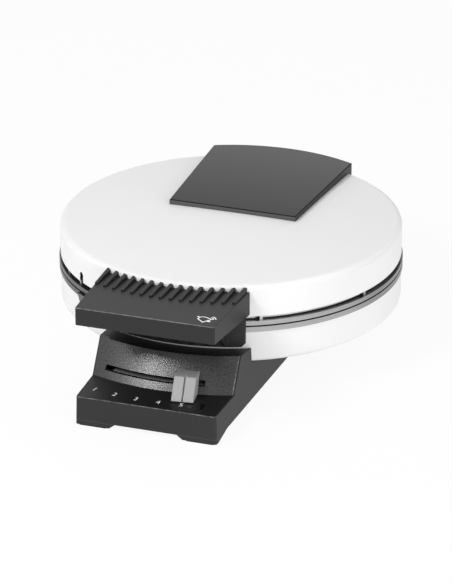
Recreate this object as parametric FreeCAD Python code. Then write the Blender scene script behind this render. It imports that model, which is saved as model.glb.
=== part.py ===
import FreeCAD, Part
import math
import os

# Waffle cone maker: a round two-plate iron with a hinged lid, a handle at the front and a browning slider.
# Sizes are millimetres and degrees. The table is z = 0 and the front looks towards -Y.
# Everything is drawn about the drum's vertical axis, and moved along Y at the end, so that the origin lies on
# the table under the middle of the object. Angles called phi run from the front (-Y) towards +X.

# Drum: two drawn steel shells with the edges of the baking plates between them
DRUM_RADIUS = 110.0
SHEET = 0.8
SHELL_EDGE_RADIUS = 3.5
HEM_WIDTH = 4.0
LOWER_SHELL_HEIGHT = 21.0
UPPER_SHELL_HEIGHT = 20.2
DOME_RISE = 2.7
SHELL_SLOT_PHI = -40.0
SHELL_SLOT_WIDTH = 4.2
SHELL_SLOT_HEIGHT = 6.7

# Baking plates
RIM_OVERHANG = 0.8
LOWER_RIM_HEIGHT = 3.4
UPPER_RIM_HEIGHT = 2.9
RIM_GAP = 1.0
PLATE_INSET = 5.0
PLATE_THICKNESS = 8.0
BAKING_INSET = 12.0
BAKING_RECESS = 0.8
GRID_PITCH = 9.0
GRID_WIDTH = 1.4
GRID_DEPTH = 1.0
BOSS_RADIUS = 5.0
BOSS_COUNT = 3
BOSS_HEIGHT = 6.5
LUG_PHI = -37.6
LUG_TOP_WIDTH = 11.0
LUG_FOOT_WIDTH = 2.0
LUG_DROP = 4.6
LUG_THICKNESS = 2.0
LUG_GAP = 0.15

# Ring under the lid's shell, with its clips
RING_HEIGHT = 2.9
RING_WALL = 2.4
RING_RECESS = 2.2
CLIP_COUNT = 9
CLIP_FIRST_PHI = 28.5
CLIP_WIDTH = 1.9
CLIP_DEPTH = 1.5
NOTCH_WIDTH = 2.5
NOTCH_OFFSET = 2.2
NOTCH_DEPTH = 1.6
SLOT_CLIP_OFFSET = 2.6

# Heating elements and heat shields
HEATER_INSET = 38.0
HEATER_TUBE_RADIUS = 3.0
HEATER_CLEARANCE = 0.2
HEATER_SIDE_CLEARANCE = 0.5
HEATER_GAP_DEG = 30.0
HEATER_BEND_RADIUS = 8.0
HEATER_LEG = 3.0
UPPER_HEATER_TURN = -90.0
SHIELD_THICKNESS = 0.5
SHIELD_INSET = 14.0
SHIELD_CENTRE_HOLE = 19.0
SHIELD_LEG_HOLE = 6.0

# Base housing
BASE_FRONT_REACH = 52.0
BASE_REAR_REACH = 14.0
BASE_FRONT_HALF_WIDTH = 45.1
BASE_FLARE_DEG = 2.2
BASE_DRAFT_DEG = 1.7
BASE_WALL = 2.2
BASE_CORNER_RADIUS = 2.0
SHELF_EDGE_RADIUS = 0.6
SEAM_HEIGHT = 3.5
SHELF_HEIGHT = 19.3
DECK_ABOVE_SEAT = 12.0
DECK_FALL = 2.0
SEAT_CLEARANCE = 0.3
PANEL_FOOT_REACH = 28.0
PANEL_TOP_REACH = 15.6
PANEL_DEPTH = 2.2
PANEL_LEDGE = 1.0
PANEL_CHEEK = 0.9
TOWER_BELOW_RIM = 2.9

# Feet and bottom plate
FOOT_INNER = 23.8
FOOT_END_SLOPE = 3.8
FOOT_FLAT = 4.0
FOOT_RAMP = 14.5
BOTTOM_THICKNESS = 2.2
BOTTOM_CLEARANCE = 0.25
PAD_PROUD = 0.6
PAD_DEPTH = 1.4
PAD_SIDE_GAP = 2.0
PAD_WIDTH = 3.0
PAD_INSET = 2.4
PAD_CLEARANCE = 0.1
VENT_COUNT = 7
VENT_PITCH = 8.0
VENT_WIDTH = 3.0
VENT_LENGTH = 34.0
VENT_Y = -70.0
POST_RADIUS = 3.5
POST_WALL_GAP = 0.1
POST_FOOT_GAP = 1.5
REAR_POST_X = 42.0
REAR_POST_INSET = 50.0

# Browning slider
SLIDER_REST_PHI = 7.4
SLOT_PHI_START = -16.4
SLOT_PHI_END = 12.0
SLOT_ABOVE_SHELF = 4.3
SLOT_HEIGHT = 3.2
LEVER_THICKNESS = 1.4
LEVER_SLOT_CLEARANCE = 0.4
LEVER_CEILING_GAP = 0.3
LEVER_WIDTH = 8.0
LEVER_HUB_RADIUS = 8.0
LEVER_PROUD = 5.0
KNOB_WIDTH = 13.9
KNOB_BOTTOM_GAP = 0.4
KNOB_HEIGHT = 12.5
KNOB_TOP_DEPTH = 10.5
KNOB_FOOT_DEPTH = 13.4
KNOB_PANEL_GAP = 0.8
KNOB_EDGE_RADIUS = 0.5
KNOB_GROOVE_WIDTH = 1.2
KNOB_GROOVE_DEPTH = 1.6
KNOB_FIT = 0.05
RAIL_DEPTH = 5.5
RAIL_THICKNESS = 1.8
RAIL_GAP = 0.2
RAIL_PHI_START = -14.4
RAIL_PHI_END = 16.0

# Thermostat under the lower plate
THERMOSTAT_RADIUS = 14.0
THERMOSTAT_HEIGHT = 9.0
SPINDLE_RADIUS = 3.0
SPINDLE_SOCKET_DEPTH = 4.0
SPINDLE_TAIL = 3.0
SPINDLE_END_GAP = 0.2
SPINDLE_FLOOR_HOLE = 5.0
RUNNING_CLEARANCE = 0.05
PRESS_CLEARANCE = 0.02
CLIP_RING_RADIUS = 5.0
CLIP_RING_THICKNESS = 0.8

# Signal lamps, buzzer and board
LENS_WIDTH = 3.2
LENS_LENGTH = 8.0
LENS_SIDE_INSETS = (19.8, 12.9)
LENS_INSET = 11.0
LENS_CLEARANCE = 0.1
LAMP_RADIUS = 1.5
LAMP_GAP = 0.3
BOARD_THICKNESS = 1.6
BOARD_STANDOFF = 2.4
BOARD_HALF_WIDTH = 29.0
BOARD_POST_GAP = 0.4
BOARD_FRONT_GAP = 2.0
BOARD_LENGTH = 17.0
BOARD_POST_RADIUS = 3.0
BUZZER_RADIUS = 6.0
BUZZER_HEIGHT = 6.0
BUZZER_HOLE_RADIUS = 1.2
BUZZER_OFFSET = -18.4

# Mains side
TERMINAL_SIZE = (36.0, 16.0, 12.0)
TERMINAL_TO_HINGE = 13.0
GLAND_X = 38.0
GLAND_FLOOR_GAP = 1.0
GLAND_BORE_RADIUS = 3.7
GLAND_BODY_RADIUS = 5.8
GLAND_FLANGE_RADIUS = 8.0
GLAND_FLANGE = 2.5
GLAND_TAIL = 6.0

# Hinge
HINGE_BEHIND_DRUM = 7.0
PIN_RADIUS = 2.5
PIN_HEAD_RADIUS = 4.5
PIN_HEAD = 2.0
BUSH_WALL = 1.5
KNUCKLE_RADIUS = 6.0
EAR_RADIUS = 6.2
EAR_WIDTH = 7.0
EAR_GAP = 0.5
ARM_X = 24.0
ARM_WIDTH = 9.0
ARM_HEIGHT = 5.0
ARM_LENGTH = 65.0
ARM_DROP = 4.0
ARM_CLEARANCE = 0.4
ARM_COVER_GAP = 0.6
BRACKET_PLATE = 2.0
BRACKET_PLATE_LENGTH = 24.0
BRACKET_SCREW_X = 12.0

# Lead from the base to the lid, which twists on the hinge axis
LEAD_RADIUS = 2.2
LEAD_BEND = 6.0
LEAD_STRAIGHT = 4.0
LEAD_GAP = 0.2
LEAD_ENTRY_BEND = 6.0
LEAD_HOLE_CLEARANCE = 0.4
CONNECTOR_SIZE = (14.0, 12.0, 6.2)
CONNECTOR_LEAD = 13.0
FUSE_SIZE = (24.0, 8.0, 6.0)
FUSE_INSIDE_HEATER = 24.0
FUSE_Y = 10.0

# Handle
HANDLE_FRONT_REACH = 52.2
HANDLE_FRONT_HALF_WIDTH = 44.5
HANDLE_LEFT_FLARE_DEG = 4.2
HANDLE_RIGHT_FLARE_DEG = 1.4
HANDLE_BELOW_DOME = 3.1
HANDLE_FRONT_HEIGHT = 11.6
HANDLE_TOP_SLOPE = 0.053
HANDLE_BOTTOM_SLOPE = 0.11
HANDLE_WALL = 3.0
HANDLE_EDGE_RADIUS = 0.7
HANDLE_CORNER_RADIUS = 1.5
HANDLE_SEAT_GAP = 0.1
SKIRT_INNER_GAP = 1.4
SKIRT_WALL = 2.0
SKIRT_SPREAD = 0.1
SKIRT_STEP_INSET = 8.2
SKIRT_STEP = 0.8
SKIRT_BELOW_RIM = 8.3
SKIRT_CHAMFER = 2.0
GUSSET_COUNT = 7
GUSSET_PITCH = 9.8
GUSSET_CENTRE_X = 3.6
GUSSET_THICKNESS = 1.8
GUSSET_TOE = 1.5
GUSSET_RISE = 1.4
RIB_COUNT = 15
RIB_LEFT_SPREAD = 1.7
RIB_RIGHT_INSET = 1.2
RIB_NOSE_WIDTH = 2.0
RIB_REAR_WIDTH = 2.4
RIB_TOP_CHAMFER = 0.45
RIB_REACH = 19.8
RIB_FRONT_HEIGHT = 1.5
RIB_NOSE = 0.5
RIB_BELOW_SHOULDER = 0.45
HANDLE_SCREW_X = 26.0
HANDLE_SCREW_DROP = 9.5
HANDLE_BOSS_RADIUS = 3.4

# Rear cover
COVER_FRONT_Y = 1.5
COVER_TURN_DEG = -1.05
COVER_FRONT_HALF_WIDTH = 43.0
COVER_FLARE_DEG = 3.35
COVER_THICKNESS = 3.2
COVER_REAR_REACH = 2.5
COVER_EDGE_RADIUS = 0.7
COVER_SEAT_GAP = 0.1
COVER_SCREW_X = 30.0
COVER_SCREW_INSET = 30.0
COVER_SKIN = 1.2

# Screws
SCREW_RADIUS = 1.75
SCREW_CLEARANCE = 0.1
SCREW_HEAD_RADIUS = 3.4
SCREW_HEAD = 2.0
SCREW_RECESS_WIDTH = 0.8
SCREW_RECESS_DEPTH = 1.0
PLATE_SCREW_GRIP = 5.0
SHORT_SCREW = 6.0

# Levels that follow from the sizes above
SLOT_BOTTOM = SHELF_HEIGHT + SLOT_ABOVE_SHELF
LEVER_Z = SLOT_BOTTOM + LEVER_SLOT_CLEARANCE
CEILING = LEVER_Z + LEVER_THICKNESS + LEVER_CEILING_GAP
SEAT_HEIGHT = CEILING + BASE_WALL
DECK_HEIGHT = SEAT_HEIGHT + DECK_ABOVE_SEAT
SHELL_FLOOR = SEAT_HEIGHT + SHEET
LOWER_RIM_Z = SEAT_HEIGHT + LOWER_SHELL_HEIGHT
TOWER_HEIGHT = LOWER_RIM_Z - TOWER_BELOW_RIM
LOWER_RIM_TOP = LOWER_RIM_Z + LOWER_RIM_HEIGHT
UPPER_RIM_Z = LOWER_RIM_TOP + RIM_GAP
UPPER_RIM_TOP = UPPER_RIM_Z + UPPER_RIM_HEIGHT
RING_TOP = UPPER_RIM_TOP + RING_HEIGHT
SHOULDER_Z = RING_TOP + UPPER_SHELL_HEIGHT
DOME_TOP = SHOULDER_Z + DOME_RISE
LOWER_BAKING_Z = LOWER_RIM_TOP - BAKING_RECESS
UPPER_BAKING_Z = UPPER_RIM_Z + BAKING_RECESS
LOWER_PLATE_BACK = LOWER_BAKING_Z - PLATE_THICKNESS
UPPER_PLATE_BACK = UPPER_BAKING_Z + PLATE_THICKNESS
LOWER_SHIELD_TOP = LOWER_PLATE_BACK - BOSS_HEIGHT
UPPER_SHIELD_Z = UPPER_PLATE_BACK + BOSS_HEIGHT
HINGE_Z = LOWER_RIM_TOP + RIM_GAP / 2
ARM_TOP = UPPER_PLATE_BACK + ARM_HEIGHT
LEAD_ENTRY_Z = HINGE_Z + LEAD_BEND + LEAD_ENTRY_BEND
BOTTOM_TOP = SEAM_HEIGHT + BOTTOM_THICKNESS
GLAND_HEIGHT = BOTTOM_TOP + GLAND_FLANGE_RADIUS + GLAND_FLOOR_GAP
HANDLE_FRONT_TOP = DOME_TOP - HANDLE_BELOW_DOME
HANDLE_FRONT_BOTTOM = HANDLE_FRONT_TOP - HANDLE_FRONT_HEIGHT
SKIRT_BOTTOM = LOWER_RIM_Z - SKIRT_BELOW_RIM
RIB_REAR_TOP = SHOULDER_Z - RIB_BELOW_SHOULDER
COVER_TOP = DOME_TOP + COVER_THICKNESS
COVER_HOOD_BOTTOM = ARM_TOP + ARM_COVER_GAP

# Radii and plan places that follow from the sizes above
SEAT_RADIUS = DRUM_RADIUS + SEAT_CLEARANCE
RIM_RADIUS = DRUM_RADIUS + RIM_OVERHANG
RING_RADIUS = DRUM_RADIUS - RING_RECESS
SHELL_INSIDE = DRUM_RADIUS - SHEET
HEM_RADIUS = DRUM_RADIUS - HEM_WIDTH
PLATE_RADIUS = DRUM_RADIUS - PLATE_INSET
BAKING_RADIUS = DRUM_RADIUS - BAKING_INSET
HEATER_RADIUS = DRUM_RADIUS - HEATER_INSET
BOSS_CIRCLE_RADIUS = BASE_FRONT_HALF_WIDTH
SHIELD_RADIUS = DRUM_RADIUS - SHIELD_INSET
BASE_FRONT = DRUM_RADIUS + BASE_FRONT_REACH
BASE_REAR = DRUM_RADIUS + BASE_REAR_REACH
PAD_LENGTH = BASE_FRONT_HALF_WIDTH - FOOT_INNER - PAD_INSET - PAD_SIDE_GAP
FRONT_POST_X = BASE_FRONT_HALF_WIDTH - BASE_WALL - POST_RADIUS - POST_WALL_GAP
FRONT_POST_Y = -BASE_FRONT + FOOT_FLAT + FOOT_RAMP + SCREW_HEAD_RADIUS + POST_FOOT_GAP
REAR_POST_Y = DRUM_RADIUS - REAR_POST_INSET
LENS_X = [BASE_FRONT_HALF_WIDTH - inset for inset in LENS_SIDE_INSETS]
LENS_Y = -BASE_FRONT + LENS_INSET
BOARD_CENTRE_X = FRONT_POST_X - POST_RADIUS - BOARD_POST_GAP - BOARD_HALF_WIDTH
BUZZER_X = BOARD_CENTRE_X + BUZZER_OFFSET
PANEL_FOOT_RADIUS = DRUM_RADIUS + PANEL_FOOT_REACH
PANEL_TOP_RADIUS = DRUM_RADIUS + PANEL_TOP_REACH
PANEL_BACK_FOOT = PANEL_FOOT_RADIUS - PANEL_DEPTH
PANEL_BACK_TOP = PANEL_TOP_RADIUS - PANEL_DEPTH
PANEL_SLOPE = (PANEL_TOP_RADIUS - PANEL_FOOT_RADIUS) / (DECK_HEIGHT - SHELF_HEIGHT)
LEVER_REACH = PANEL_FOOT_RADIUS + LEVER_PROUD
HINGE_Y = DRUM_RADIUS + HINGE_BEHIND_DRUM
BUSH_RADIUS = PIN_RADIUS + RUNNING_CLEARANCE + BUSH_WALL
COVER_REAR_RADIUS = DRUM_RADIUS + COVER_REAR_REACH
COVER_SCREW_Y = DRUM_RADIUS - COVER_SCREW_INSET
ARM_INNER = ARM_X - ARM_WIDTH / 2
ARM_OUTER = ARM_X + ARM_WIDTH / 2
ARM_FRONT_Y = HINGE_Y - ARM_LENGTH
ARM_REAR_Y = HINGE_Y - KNUCKLE_RADIUS + ARM_DROP
EAR_INNER = ARM_OUTER + EAR_GAP
EAR_OUTER = EAR_INNER + EAR_WIDTH
TERMINAL_Y = HINGE_Y - TERMINAL_TO_HINGE - TERMINAL_SIZE[1]
LEAD_X = LEAD_STRAIGHT + LEAD_BEND
CONNECTOR_REAR_Y = HINGE_Y - LEAD_ENTRY_BEND - CONNECTOR_LEAD
HANDLE_REACH = DRUM_RADIUS + HANDLE_FRONT_REACH
SKIRT_INNER = RIM_RADIUS + SKIRT_INNER_GAP
SKIRT_OUTER = SKIRT_INNER + SKIRT_WALL
SKIRT_HALF_WIDTH = HANDLE_FRONT_HALF_WIDTH + SKIRT_SPREAD
SKIRT_STEP_HALF_WIDTH = SKIRT_HALF_WIDTH - SKIRT_STEP_INSET
RIB_FIRST_X = -HANDLE_FRONT_HALF_WIDTH - RIB_LEFT_SPREAD
RIB_LAST_X = HANDLE_FRONT_HALF_WIDTH - RIB_RIGHT_INSET
RIB_PITCH = (RIB_LAST_X - RIB_FIRST_X) / (RIB_COUNT - 1)
RIB_FRONT_RADIUS = DRUM_RADIUS + RIB_REACH
REAR_REACH = BASE_REAR + GLAND_FLANGE
BODY_AXIS_Y = (max(BASE_FRONT, HANDLE_REACH) - REAR_REACH) / 2
SCREW_HOLE = SCREW_RADIUS + SCREW_CLEARANCE
FAR = 4 * DRUM_RADIUS
TOUCH = 0.001

V = FreeCAD.Vector
UP = V(0, 0, 1)
DOWN = V(0, 0, -1)
BACKWARD = V(0, 1, 0)
FORWARD = V(0, -1, 0)


# Shape helpers

def box(x0, x1, y0, y1, z0, z1):
    return Part.makeBox(x1 - x0, y1 - y0, z1 - z0, V(x0, y0, z0))


def upright(radius, z0, z1, x=0.0, y=0.0):
    return Part.makeCylinder(radius, z1 - z0, V(x, y, z0))


def across(radius, x0, x1, y, z):
    return Part.makeCylinder(radius, x1 - x0, V(x0, y, z), V(1, 0, 0))


def polygon_face(points):
    return Part.Face(Part.makePolygon(points + [points[0]]))


def prism_xy(points, z0, z1):
    face = polygon_face([V(x, y, z0) for x, y in points])
    return face.extrude(V(0, 0, z1 - z0))


def prism_yz(points, x0, x1):
    face = polygon_face([V(x0, y, z) for y, z in points])
    return face.extrude(V(x1 - x0, 0, 0))


def prism_xz(points, y0, y1):
    face = polygon_face([V(x, y0, z) for x, z in points])
    return face.extrude(V(0, y1 - y0, 0))


def turned(points, sweep=360.0):
    face = polygon_face([V(r, 0, z) for r, z in points])
    return face.revolve(V(0, 0, 0), UP, sweep)


def sector(r0, r1, z0, z1, phi0, phi1):
    part = turned([(r0, z0), (r1, z0), (r1, z1), (r0, z1)], phi1 - phi0)
    part.rotate(V(0, 0, 0), UP, phi0 - 90)
    return part


def to_phi(shape, phi):
    turned_shape = shape.copy()
    turned_shape.rotate(V(0, 0, 0), UP, phi)
    return turned_shape


def joined(shapes):
    return shapes[0].multiFuse(shapes[1:]).removeSplitter()


def both_sides(shape):
    return [shape, shape.mirror(V(0, 0, 0), V(1, 0, 0))]


def ring_places(count, radius, first_phi):
    phis = [math.radians(first_phi + 360.0 * i / count) for i in range(count)]
    return [(radius * math.sin(phi), -radius * math.cos(phi)) for phi in phis]


def screw(seat, direction, length):
    """A pan-head screw whose head stands on the seat point and whose shank runs along direction."""
    head_base = seat - direction * SCREW_HEAD
    head = Part.makeCylinder(SCREW_HEAD_RADIUS, SCREW_HEAD, head_base, direction)
    recess = Part.makeCylinder(SCREW_RECESS_WIDTH, SCREW_RECESS_DEPTH, head_base, direction)
    shank = Part.makeCylinder(SCREW_RADIUS, length, seat, direction)
    return head.cut(recess).fuse(shank).removeSplitter()


def screw_hole(seat, direction, length):
    return Part.makeCylinder(SCREW_HOLE, length, seat, direction)


def dome_radius_of(radius, rise):
    return (radius ** 2 + rise ** 2) / (2 * rise)


def drum_with_dome(radius, z0, shoulder, rise, edge_radius):
    """A drum with a shallow dome. They would meet at the shoulder, where they are rounded together."""
    dome_radius = dome_radius_of(radius, rise)
    dome_centre_z = shoulder + rise - dome_radius
    edge_r = radius - edge_radius
    edge_z = dome_centre_z + math.sqrt((dome_radius - edge_radius) ** 2 - edge_r ** 2)
    half_tilt = math.asin(edge_r / (dome_radius - edge_radius)) / 2

    def on_dome(tilt):
        return V(dome_radius * math.sin(tilt), 0, dome_centre_z + dome_radius * math.cos(tilt))

    wall_top = V(radius, 0, edge_z)
    edge_tilt = (math.pi / 2 + 2 * half_tilt) / 2
    edge_middle = V(edge_r + edge_radius * math.sin(edge_tilt), 0, edge_z + edge_radius * math.cos(edge_tilt))
    rounding = Part.Arc(wall_top, edge_middle, on_dome(2 * half_tilt)).toShape()
    dome = Part.Arc(on_dome(2 * half_tilt), on_dome(half_tilt), on_dome(0)).toShape()
    wall = Part.makePolygon([on_dome(0), V(0, 0, z0), V(radius, 0, z0), wall_top])
    return Part.Face(Part.Wire(wall.Edges + [rounding, dome])).revolve(V(0, 0, 0), UP, 360)


def flared_plan(front_y, rear_y, front_half_width, left_deg, right_deg, inset, z0, z1):
    """A prism on a plan that widens towards the rear, pulled in by inset on its front, sides and rear."""
    y0 = front_y + inset
    y1 = rear_y - inset

    def half(y, flare_deg):
        flare = math.radians(flare_deg)
        return front_half_width + (y - front_y) * math.tan(flare) - inset / math.cos(flare)

    return prism_xy([(-half(y0, left_deg), y0), (half(y0, right_deg), y0), (half(y1, right_deg), y1),
                     (-half(y1, left_deg), y1)], z0, z1)


# Base

def base_plan(inset, z0, z1):
    """The base's plan, pulled in by inset. Its sides widen to the rear and lean in towards the top."""
    flare = math.radians(BASE_FLARE_DEG)
    lean = math.tan(math.radians(BASE_DRAFT_DEG))
    y0 = -BASE_FRONT + inset
    length = BASE_REAR - inset - y0
    half = BASE_FRONT_HALF_WIDTH + inset * math.tan(flare) - inset / math.cos(flare)
    low = half + (SHELF_HEIGHT - z0) * lean
    high = half + (SHELF_HEIGHT - z1) * lean
    end = polygon_face([V(-FAR, y0, z0), V(low, y0, z0), V(high, y0, z1), V(-FAR, y0, z1)])
    right = end.extrude(V(length * math.tan(flare), length, 0))
    return right.common(right.mirror(V(0, 0, 0), V(1, 0, 0)))


def base_outline(z0, z1):
    plan = base_plan(0, z0, z1)
    corners = [e for e in plan.Edges if e.BoundBox.ZLength > TOUCH and e.BoundBox.YLength < TOUCH]
    return plan.makeFillet(BASE_CORNER_RADIUS, corners)


def panel_seat():
    """The place of the control panel between the base's cheeks."""
    cone = turned([(PANEL_BACK_FOOT, SHELF_HEIGHT), (PANEL_FOOT_RADIUS, SHELF_HEIGHT),
                   (PANEL_TOP_RADIUS, DECK_HEIGHT), (PANEL_BACK_TOP, DECK_HEIGHT)], -180)
    return cone.common(base_plan(PANEL_CHEEK, SHELF_HEIGHT, DECK_HEIGHT))


def base_block():
    front = turned([(0, SEAM_HEIGHT), (FAR, SEAM_HEIGHT), (FAR, SHELF_HEIGHT),
                    (PANEL_FOOT_RADIUS, SHELF_HEIGHT), (PANEL_TOP_RADIUS, DECK_HEIGHT),
                    (PANEL_BACK_TOP, DECK_HEIGHT), (SEAT_RADIUS, DECK_HEIGHT - DECK_FALL),
                    (SEAT_RADIUS, SEAT_HEIGHT), (0, SEAT_HEIGHT)], -180)
    rear = turned([(0, SEAM_HEIGHT), (FAR, SEAM_HEIGHT), (FAR, TOWER_HEIGHT), (SEAT_RADIUS, TOWER_HEIGHT),
                   (SEAT_RADIUS, SEAT_HEIGHT), (0, SEAT_HEIGHT)], 180)
    block = front.fuse(rear).common(base_outline(SEAM_HEIGHT, TOWER_HEIGHT)).removeSplitter()
    shelf_edge = [e for e in block.Edges if on_shelf_edge(e.BoundBox)]
    return block.makeFillet(SHELF_EDGE_RADIUS, shelf_edge).cut(panel_seat())


def on_shelf_edge(extent):
    level = abs(extent.ZMin - SHELF_HEIGHT) < TOUCH and abs(extent.ZMax - SHELF_HEIGHT) < TOUCH
    return level and extent.YMin < -BASE_FRONT + BASE_CORNER_RADIUS + TOUCH


def base_cavity():
    ledge = PANEL_BACK_FOOT - PANEL_LEDGE
    step = SEAT_RADIUS + BASE_WALL
    front = turned([(0, 0), (FAR, 0), (FAR, SHELF_HEIGHT - BASE_WALL), (ledge, SHELF_HEIGHT - BASE_WALL),
                    (ledge, SHELF_HEIGHT), (PANEL_FOOT_RADIUS, SHELF_HEIGHT),
                    (PANEL_FOOT_RADIUS, DECK_HEIGHT - BASE_WALL),
                    (step, DECK_HEIGHT - DECK_FALL - BASE_WALL),
                    (step, CEILING), (0, CEILING)], -180)
    rear = turned([(0, 0), (FAR, 0), (FAR, TOWER_HEIGHT - BASE_WALL), (step, TOWER_HEIGHT - BASE_WALL),
                   (step, CEILING), (0, CEILING)], 180)
    return front.fuse(rear).common(base_plan(BASE_WALL, 0, TOWER_HEIGHT))


def hinge_ear():
    slab = box(EAR_INNER, EAR_OUTER, HINGE_Y - EAR_RADIUS, HINGE_Y + EAR_RADIUS,
               TOWER_HEIGHT - BASE_WALL, HINGE_Z)
    top = across(EAR_RADIUS, EAR_INNER, EAR_OUTER, HINGE_Y, HINGE_Z)
    bore = across(PIN_RADIUS + PRESS_CLEARANCE, EAR_INNER, EAR_OUTER, HINGE_Y, HINGE_Z)
    return slab.fuse(top).cut(bore)


def bottom_screw_places():
    front = [(-FRONT_POST_X, FRONT_POST_Y), (FRONT_POST_X, FRONT_POST_Y)]
    rear = [(-REAR_POST_X, REAR_POST_Y), (REAR_POST_X, REAR_POST_Y)]
    return front, rear


def base_posts():
    front, rear = bottom_screw_places()
    front_posts = [upright(POST_RADIUS, BOTTOM_TOP, SHELF_HEIGHT - BASE_WALL, x, y) for x, y in front]
    rear_posts = [upright(POST_RADIUS, BOTTOM_TOP, CEILING, x, y) for x, y in rear]
    return front_posts + rear_posts


def boss_places():
    return ring_places(BOSS_COUNT, BOSS_CIRCLE_RADIUS, 180.0 / BOSS_COUNT)


def lens_box(clearance, z0, z1, x):
    half_width = LENS_WIDTH / 2 + clearance
    half_length = LENS_LENGTH / 2 + clearance
    return box(x - half_width, x + half_width, LENS_Y - half_length, LENS_Y + half_length, z0, z1)


def base_housing():
    front, rear = bottom_screw_places()
    shelf_under = SHELF_HEIGHT - BASE_WALL
    body = base_block().cut(base_cavity())
    body = joined([body] + both_sides(hinge_ear()) + base_posts())
    holes = [upright(SPINDLE_RADIUS + RUNNING_CLEARANCE, CEILING, SEAT_HEIGHT)]
    holes += [upright(SCREW_HOLE, CEILING, SEAT_HEIGHT, x, y) for x, y in boss_places()]
    holes += [upright(SCREW_HOLE, BOTTOM_TOP, BOTTOM_TOP + SHORT_SCREW, x, y) for x, y in front + rear]
    holes += [lens_box(LENS_CLEARANCE, shelf_under, SHELF_HEIGHT, x) for x in LENS_X]
    holes += [upright(SHIELD_LEG_HOLE, CEILING, SEAT_HEIGHT, 0, HEATER_RADIUS)]
    gland_inside = V(GLAND_X, BASE_REAR - BASE_WALL, GLAND_HEIGHT)
    holes += [Part.makeCylinder(GLAND_BODY_RADIUS, BASE_WALL, gland_inside, BACKWARD)]
    lead_hole = LEAD_RADIUS + LEAD_HOLE_CLEARANCE
    holes += [upright(lead_hole, TOWER_HEIGHT - BASE_WALL, TOWER_HEIGHT, -LEAD_X, HINGE_Y)]
    return body.cut(holes)


def control_panel():
    slot = sector(PANEL_BACK_TOP, PANEL_FOOT_RADIUS, SLOT_BOTTOM, SLOT_BOTTOM + SLOT_HEIGHT,
                  SLOT_PHI_START, SLOT_PHI_END)
    return panel_seat().cut(slot)


def foot(front):
    outer = BASE_FRONT if front else BASE_REAR
    sign = -1 if front else 1
    toe = sign * (outer - FOOT_FLAT)
    heel = sign * (outer - FOOT_FLAT - FOOT_RAMP)
    side_view = prism_yz([(sign * outer, SEAM_HEIGHT), (sign * outer, PAD_PROUD), (toe, PAD_PROUD),
                          (heel, SEAM_HEIGHT)], 0, FAR)
    end_view = prism_xz([(FOOT_INNER - FOOT_END_SLOPE, SEAM_HEIGHT), (FOOT_INNER, PAD_PROUD),
                         (FAR, PAD_PROUD), (FAR, SEAM_HEIGHT)], -FAR, FAR)
    return side_view.common(end_view).common(base_outline(PAD_PROUD, SEAM_HEIGHT))


def foot_pad(front, clearance):
    outer = BASE_FRONT if front else BASE_REAR
    sign = -1 if front else 1
    middle_y = sign * (outer - FOOT_FLAT / 2)
    half_width = PAD_WIDTH / 2 + clearance
    start = FOOT_INNER + PAD_INSET - clearance
    end = FOOT_INNER + PAD_INSET + PAD_LENGTH + clearance
    return box(start, end, middle_y - half_width, middle_y + half_width, 0, PAD_PROUD + PAD_DEPTH)


def base_bottom():
    front, rear = bottom_screw_places()
    plate = base_plan(BASE_WALL + BOTTOM_CLEARANCE, SEAM_HEIGHT, BOTTOM_TOP)
    feet = both_sides(foot(True)) + both_sides(foot(False))
    posts = [upright(BOARD_POST_RADIUS, BOTTOM_TOP, BOTTOM_TOP + BOARD_STANDOFF, x, board_middle_y())
             for x in board_post_x()]
    body = joined([plate] + feet + posts)
    cuts = both_sides(foot_pad(True, PAD_CLEARANCE)) + both_sides(foot_pad(False, PAD_CLEARANCE))
    cuts += [upright(SCREW_HOLE, SEAM_HEIGHT, BOTTOM_TOP, x, y) for x, y in front + rear]
    first = VENT_Y - VENT_PITCH * (VENT_COUNT - 1) / 2
    for i in range(VENT_COUNT):
        y = first + i * VENT_PITCH
        cuts.append(box(-VENT_LENGTH / 2, VENT_LENGTH / 2, y - VENT_WIDTH / 2, y + VENT_WIDTH / 2,
                        SEAM_HEIGHT, BOTTOM_TOP))
    return body.cut(cuts)


def foot_pads():
    return Part.makeCompound(both_sides(foot_pad(True, 0)) + both_sides(foot_pad(False, 0)))


def bottom_screws():
    front, rear = bottom_screw_places()
    length = BOTTOM_THICKNESS + SHORT_SCREW - SCREW_CLEARANCE
    return Part.makeCompound([screw(V(x, y, SEAM_HEIGHT), UP, length) for x, y in front + rear])


# Signal lamps, buzzer and mains side

def board_middle_y():
    return -BASE_FRONT + BASE_WALL + BOARD_FRONT_GAP + BOARD_LENGTH / 2


def board_post_x():
    reach = BOARD_HALF_WIDTH - BOARD_POST_RADIUS
    return [BOARD_CENTRE_X - reach, BOARD_CENTRE_X + reach]


def board_top():
    return BOTTOM_TOP + BOARD_STANDOFF + BOARD_THICKNESS


def signal_board():
    y = board_middle_y()
    return box(BOARD_CENTRE_X - BOARD_HALF_WIDTH, BOARD_CENTRE_X + BOARD_HALF_WIDTH, y - BOARD_LENGTH / 2,
               y + BOARD_LENGTH / 2, BOTTOM_TOP + BOARD_STANDOFF, board_top())


def buzzer():
    y = board_middle_y()
    top = board_top() + BUZZER_HEIGHT
    can = upright(BUZZER_RADIUS, board_top(), top, BUZZER_X, y)
    sound_hole = upright(BUZZER_HOLE_RADIUS, top - BUZZER_HEIGHT / 2, top, BUZZER_X, y)
    return can.cut(sound_hole)


def indicator_lamps():
    top = SHELF_HEIGHT - BASE_WALL - LAMP_GAP
    dome_base = top - LAMP_RADIUS
    lamps = []
    for x in LENS_X:
        stem = upright(LAMP_RADIUS, board_top(), dome_base, x, LENS_Y)
        dome = Part.makeSphere(LAMP_RADIUS, V(x, LENS_Y, dome_base))
        lamps.append(stem.fuse(dome).removeSplitter())
    return Part.makeCompound(lamps)


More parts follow.
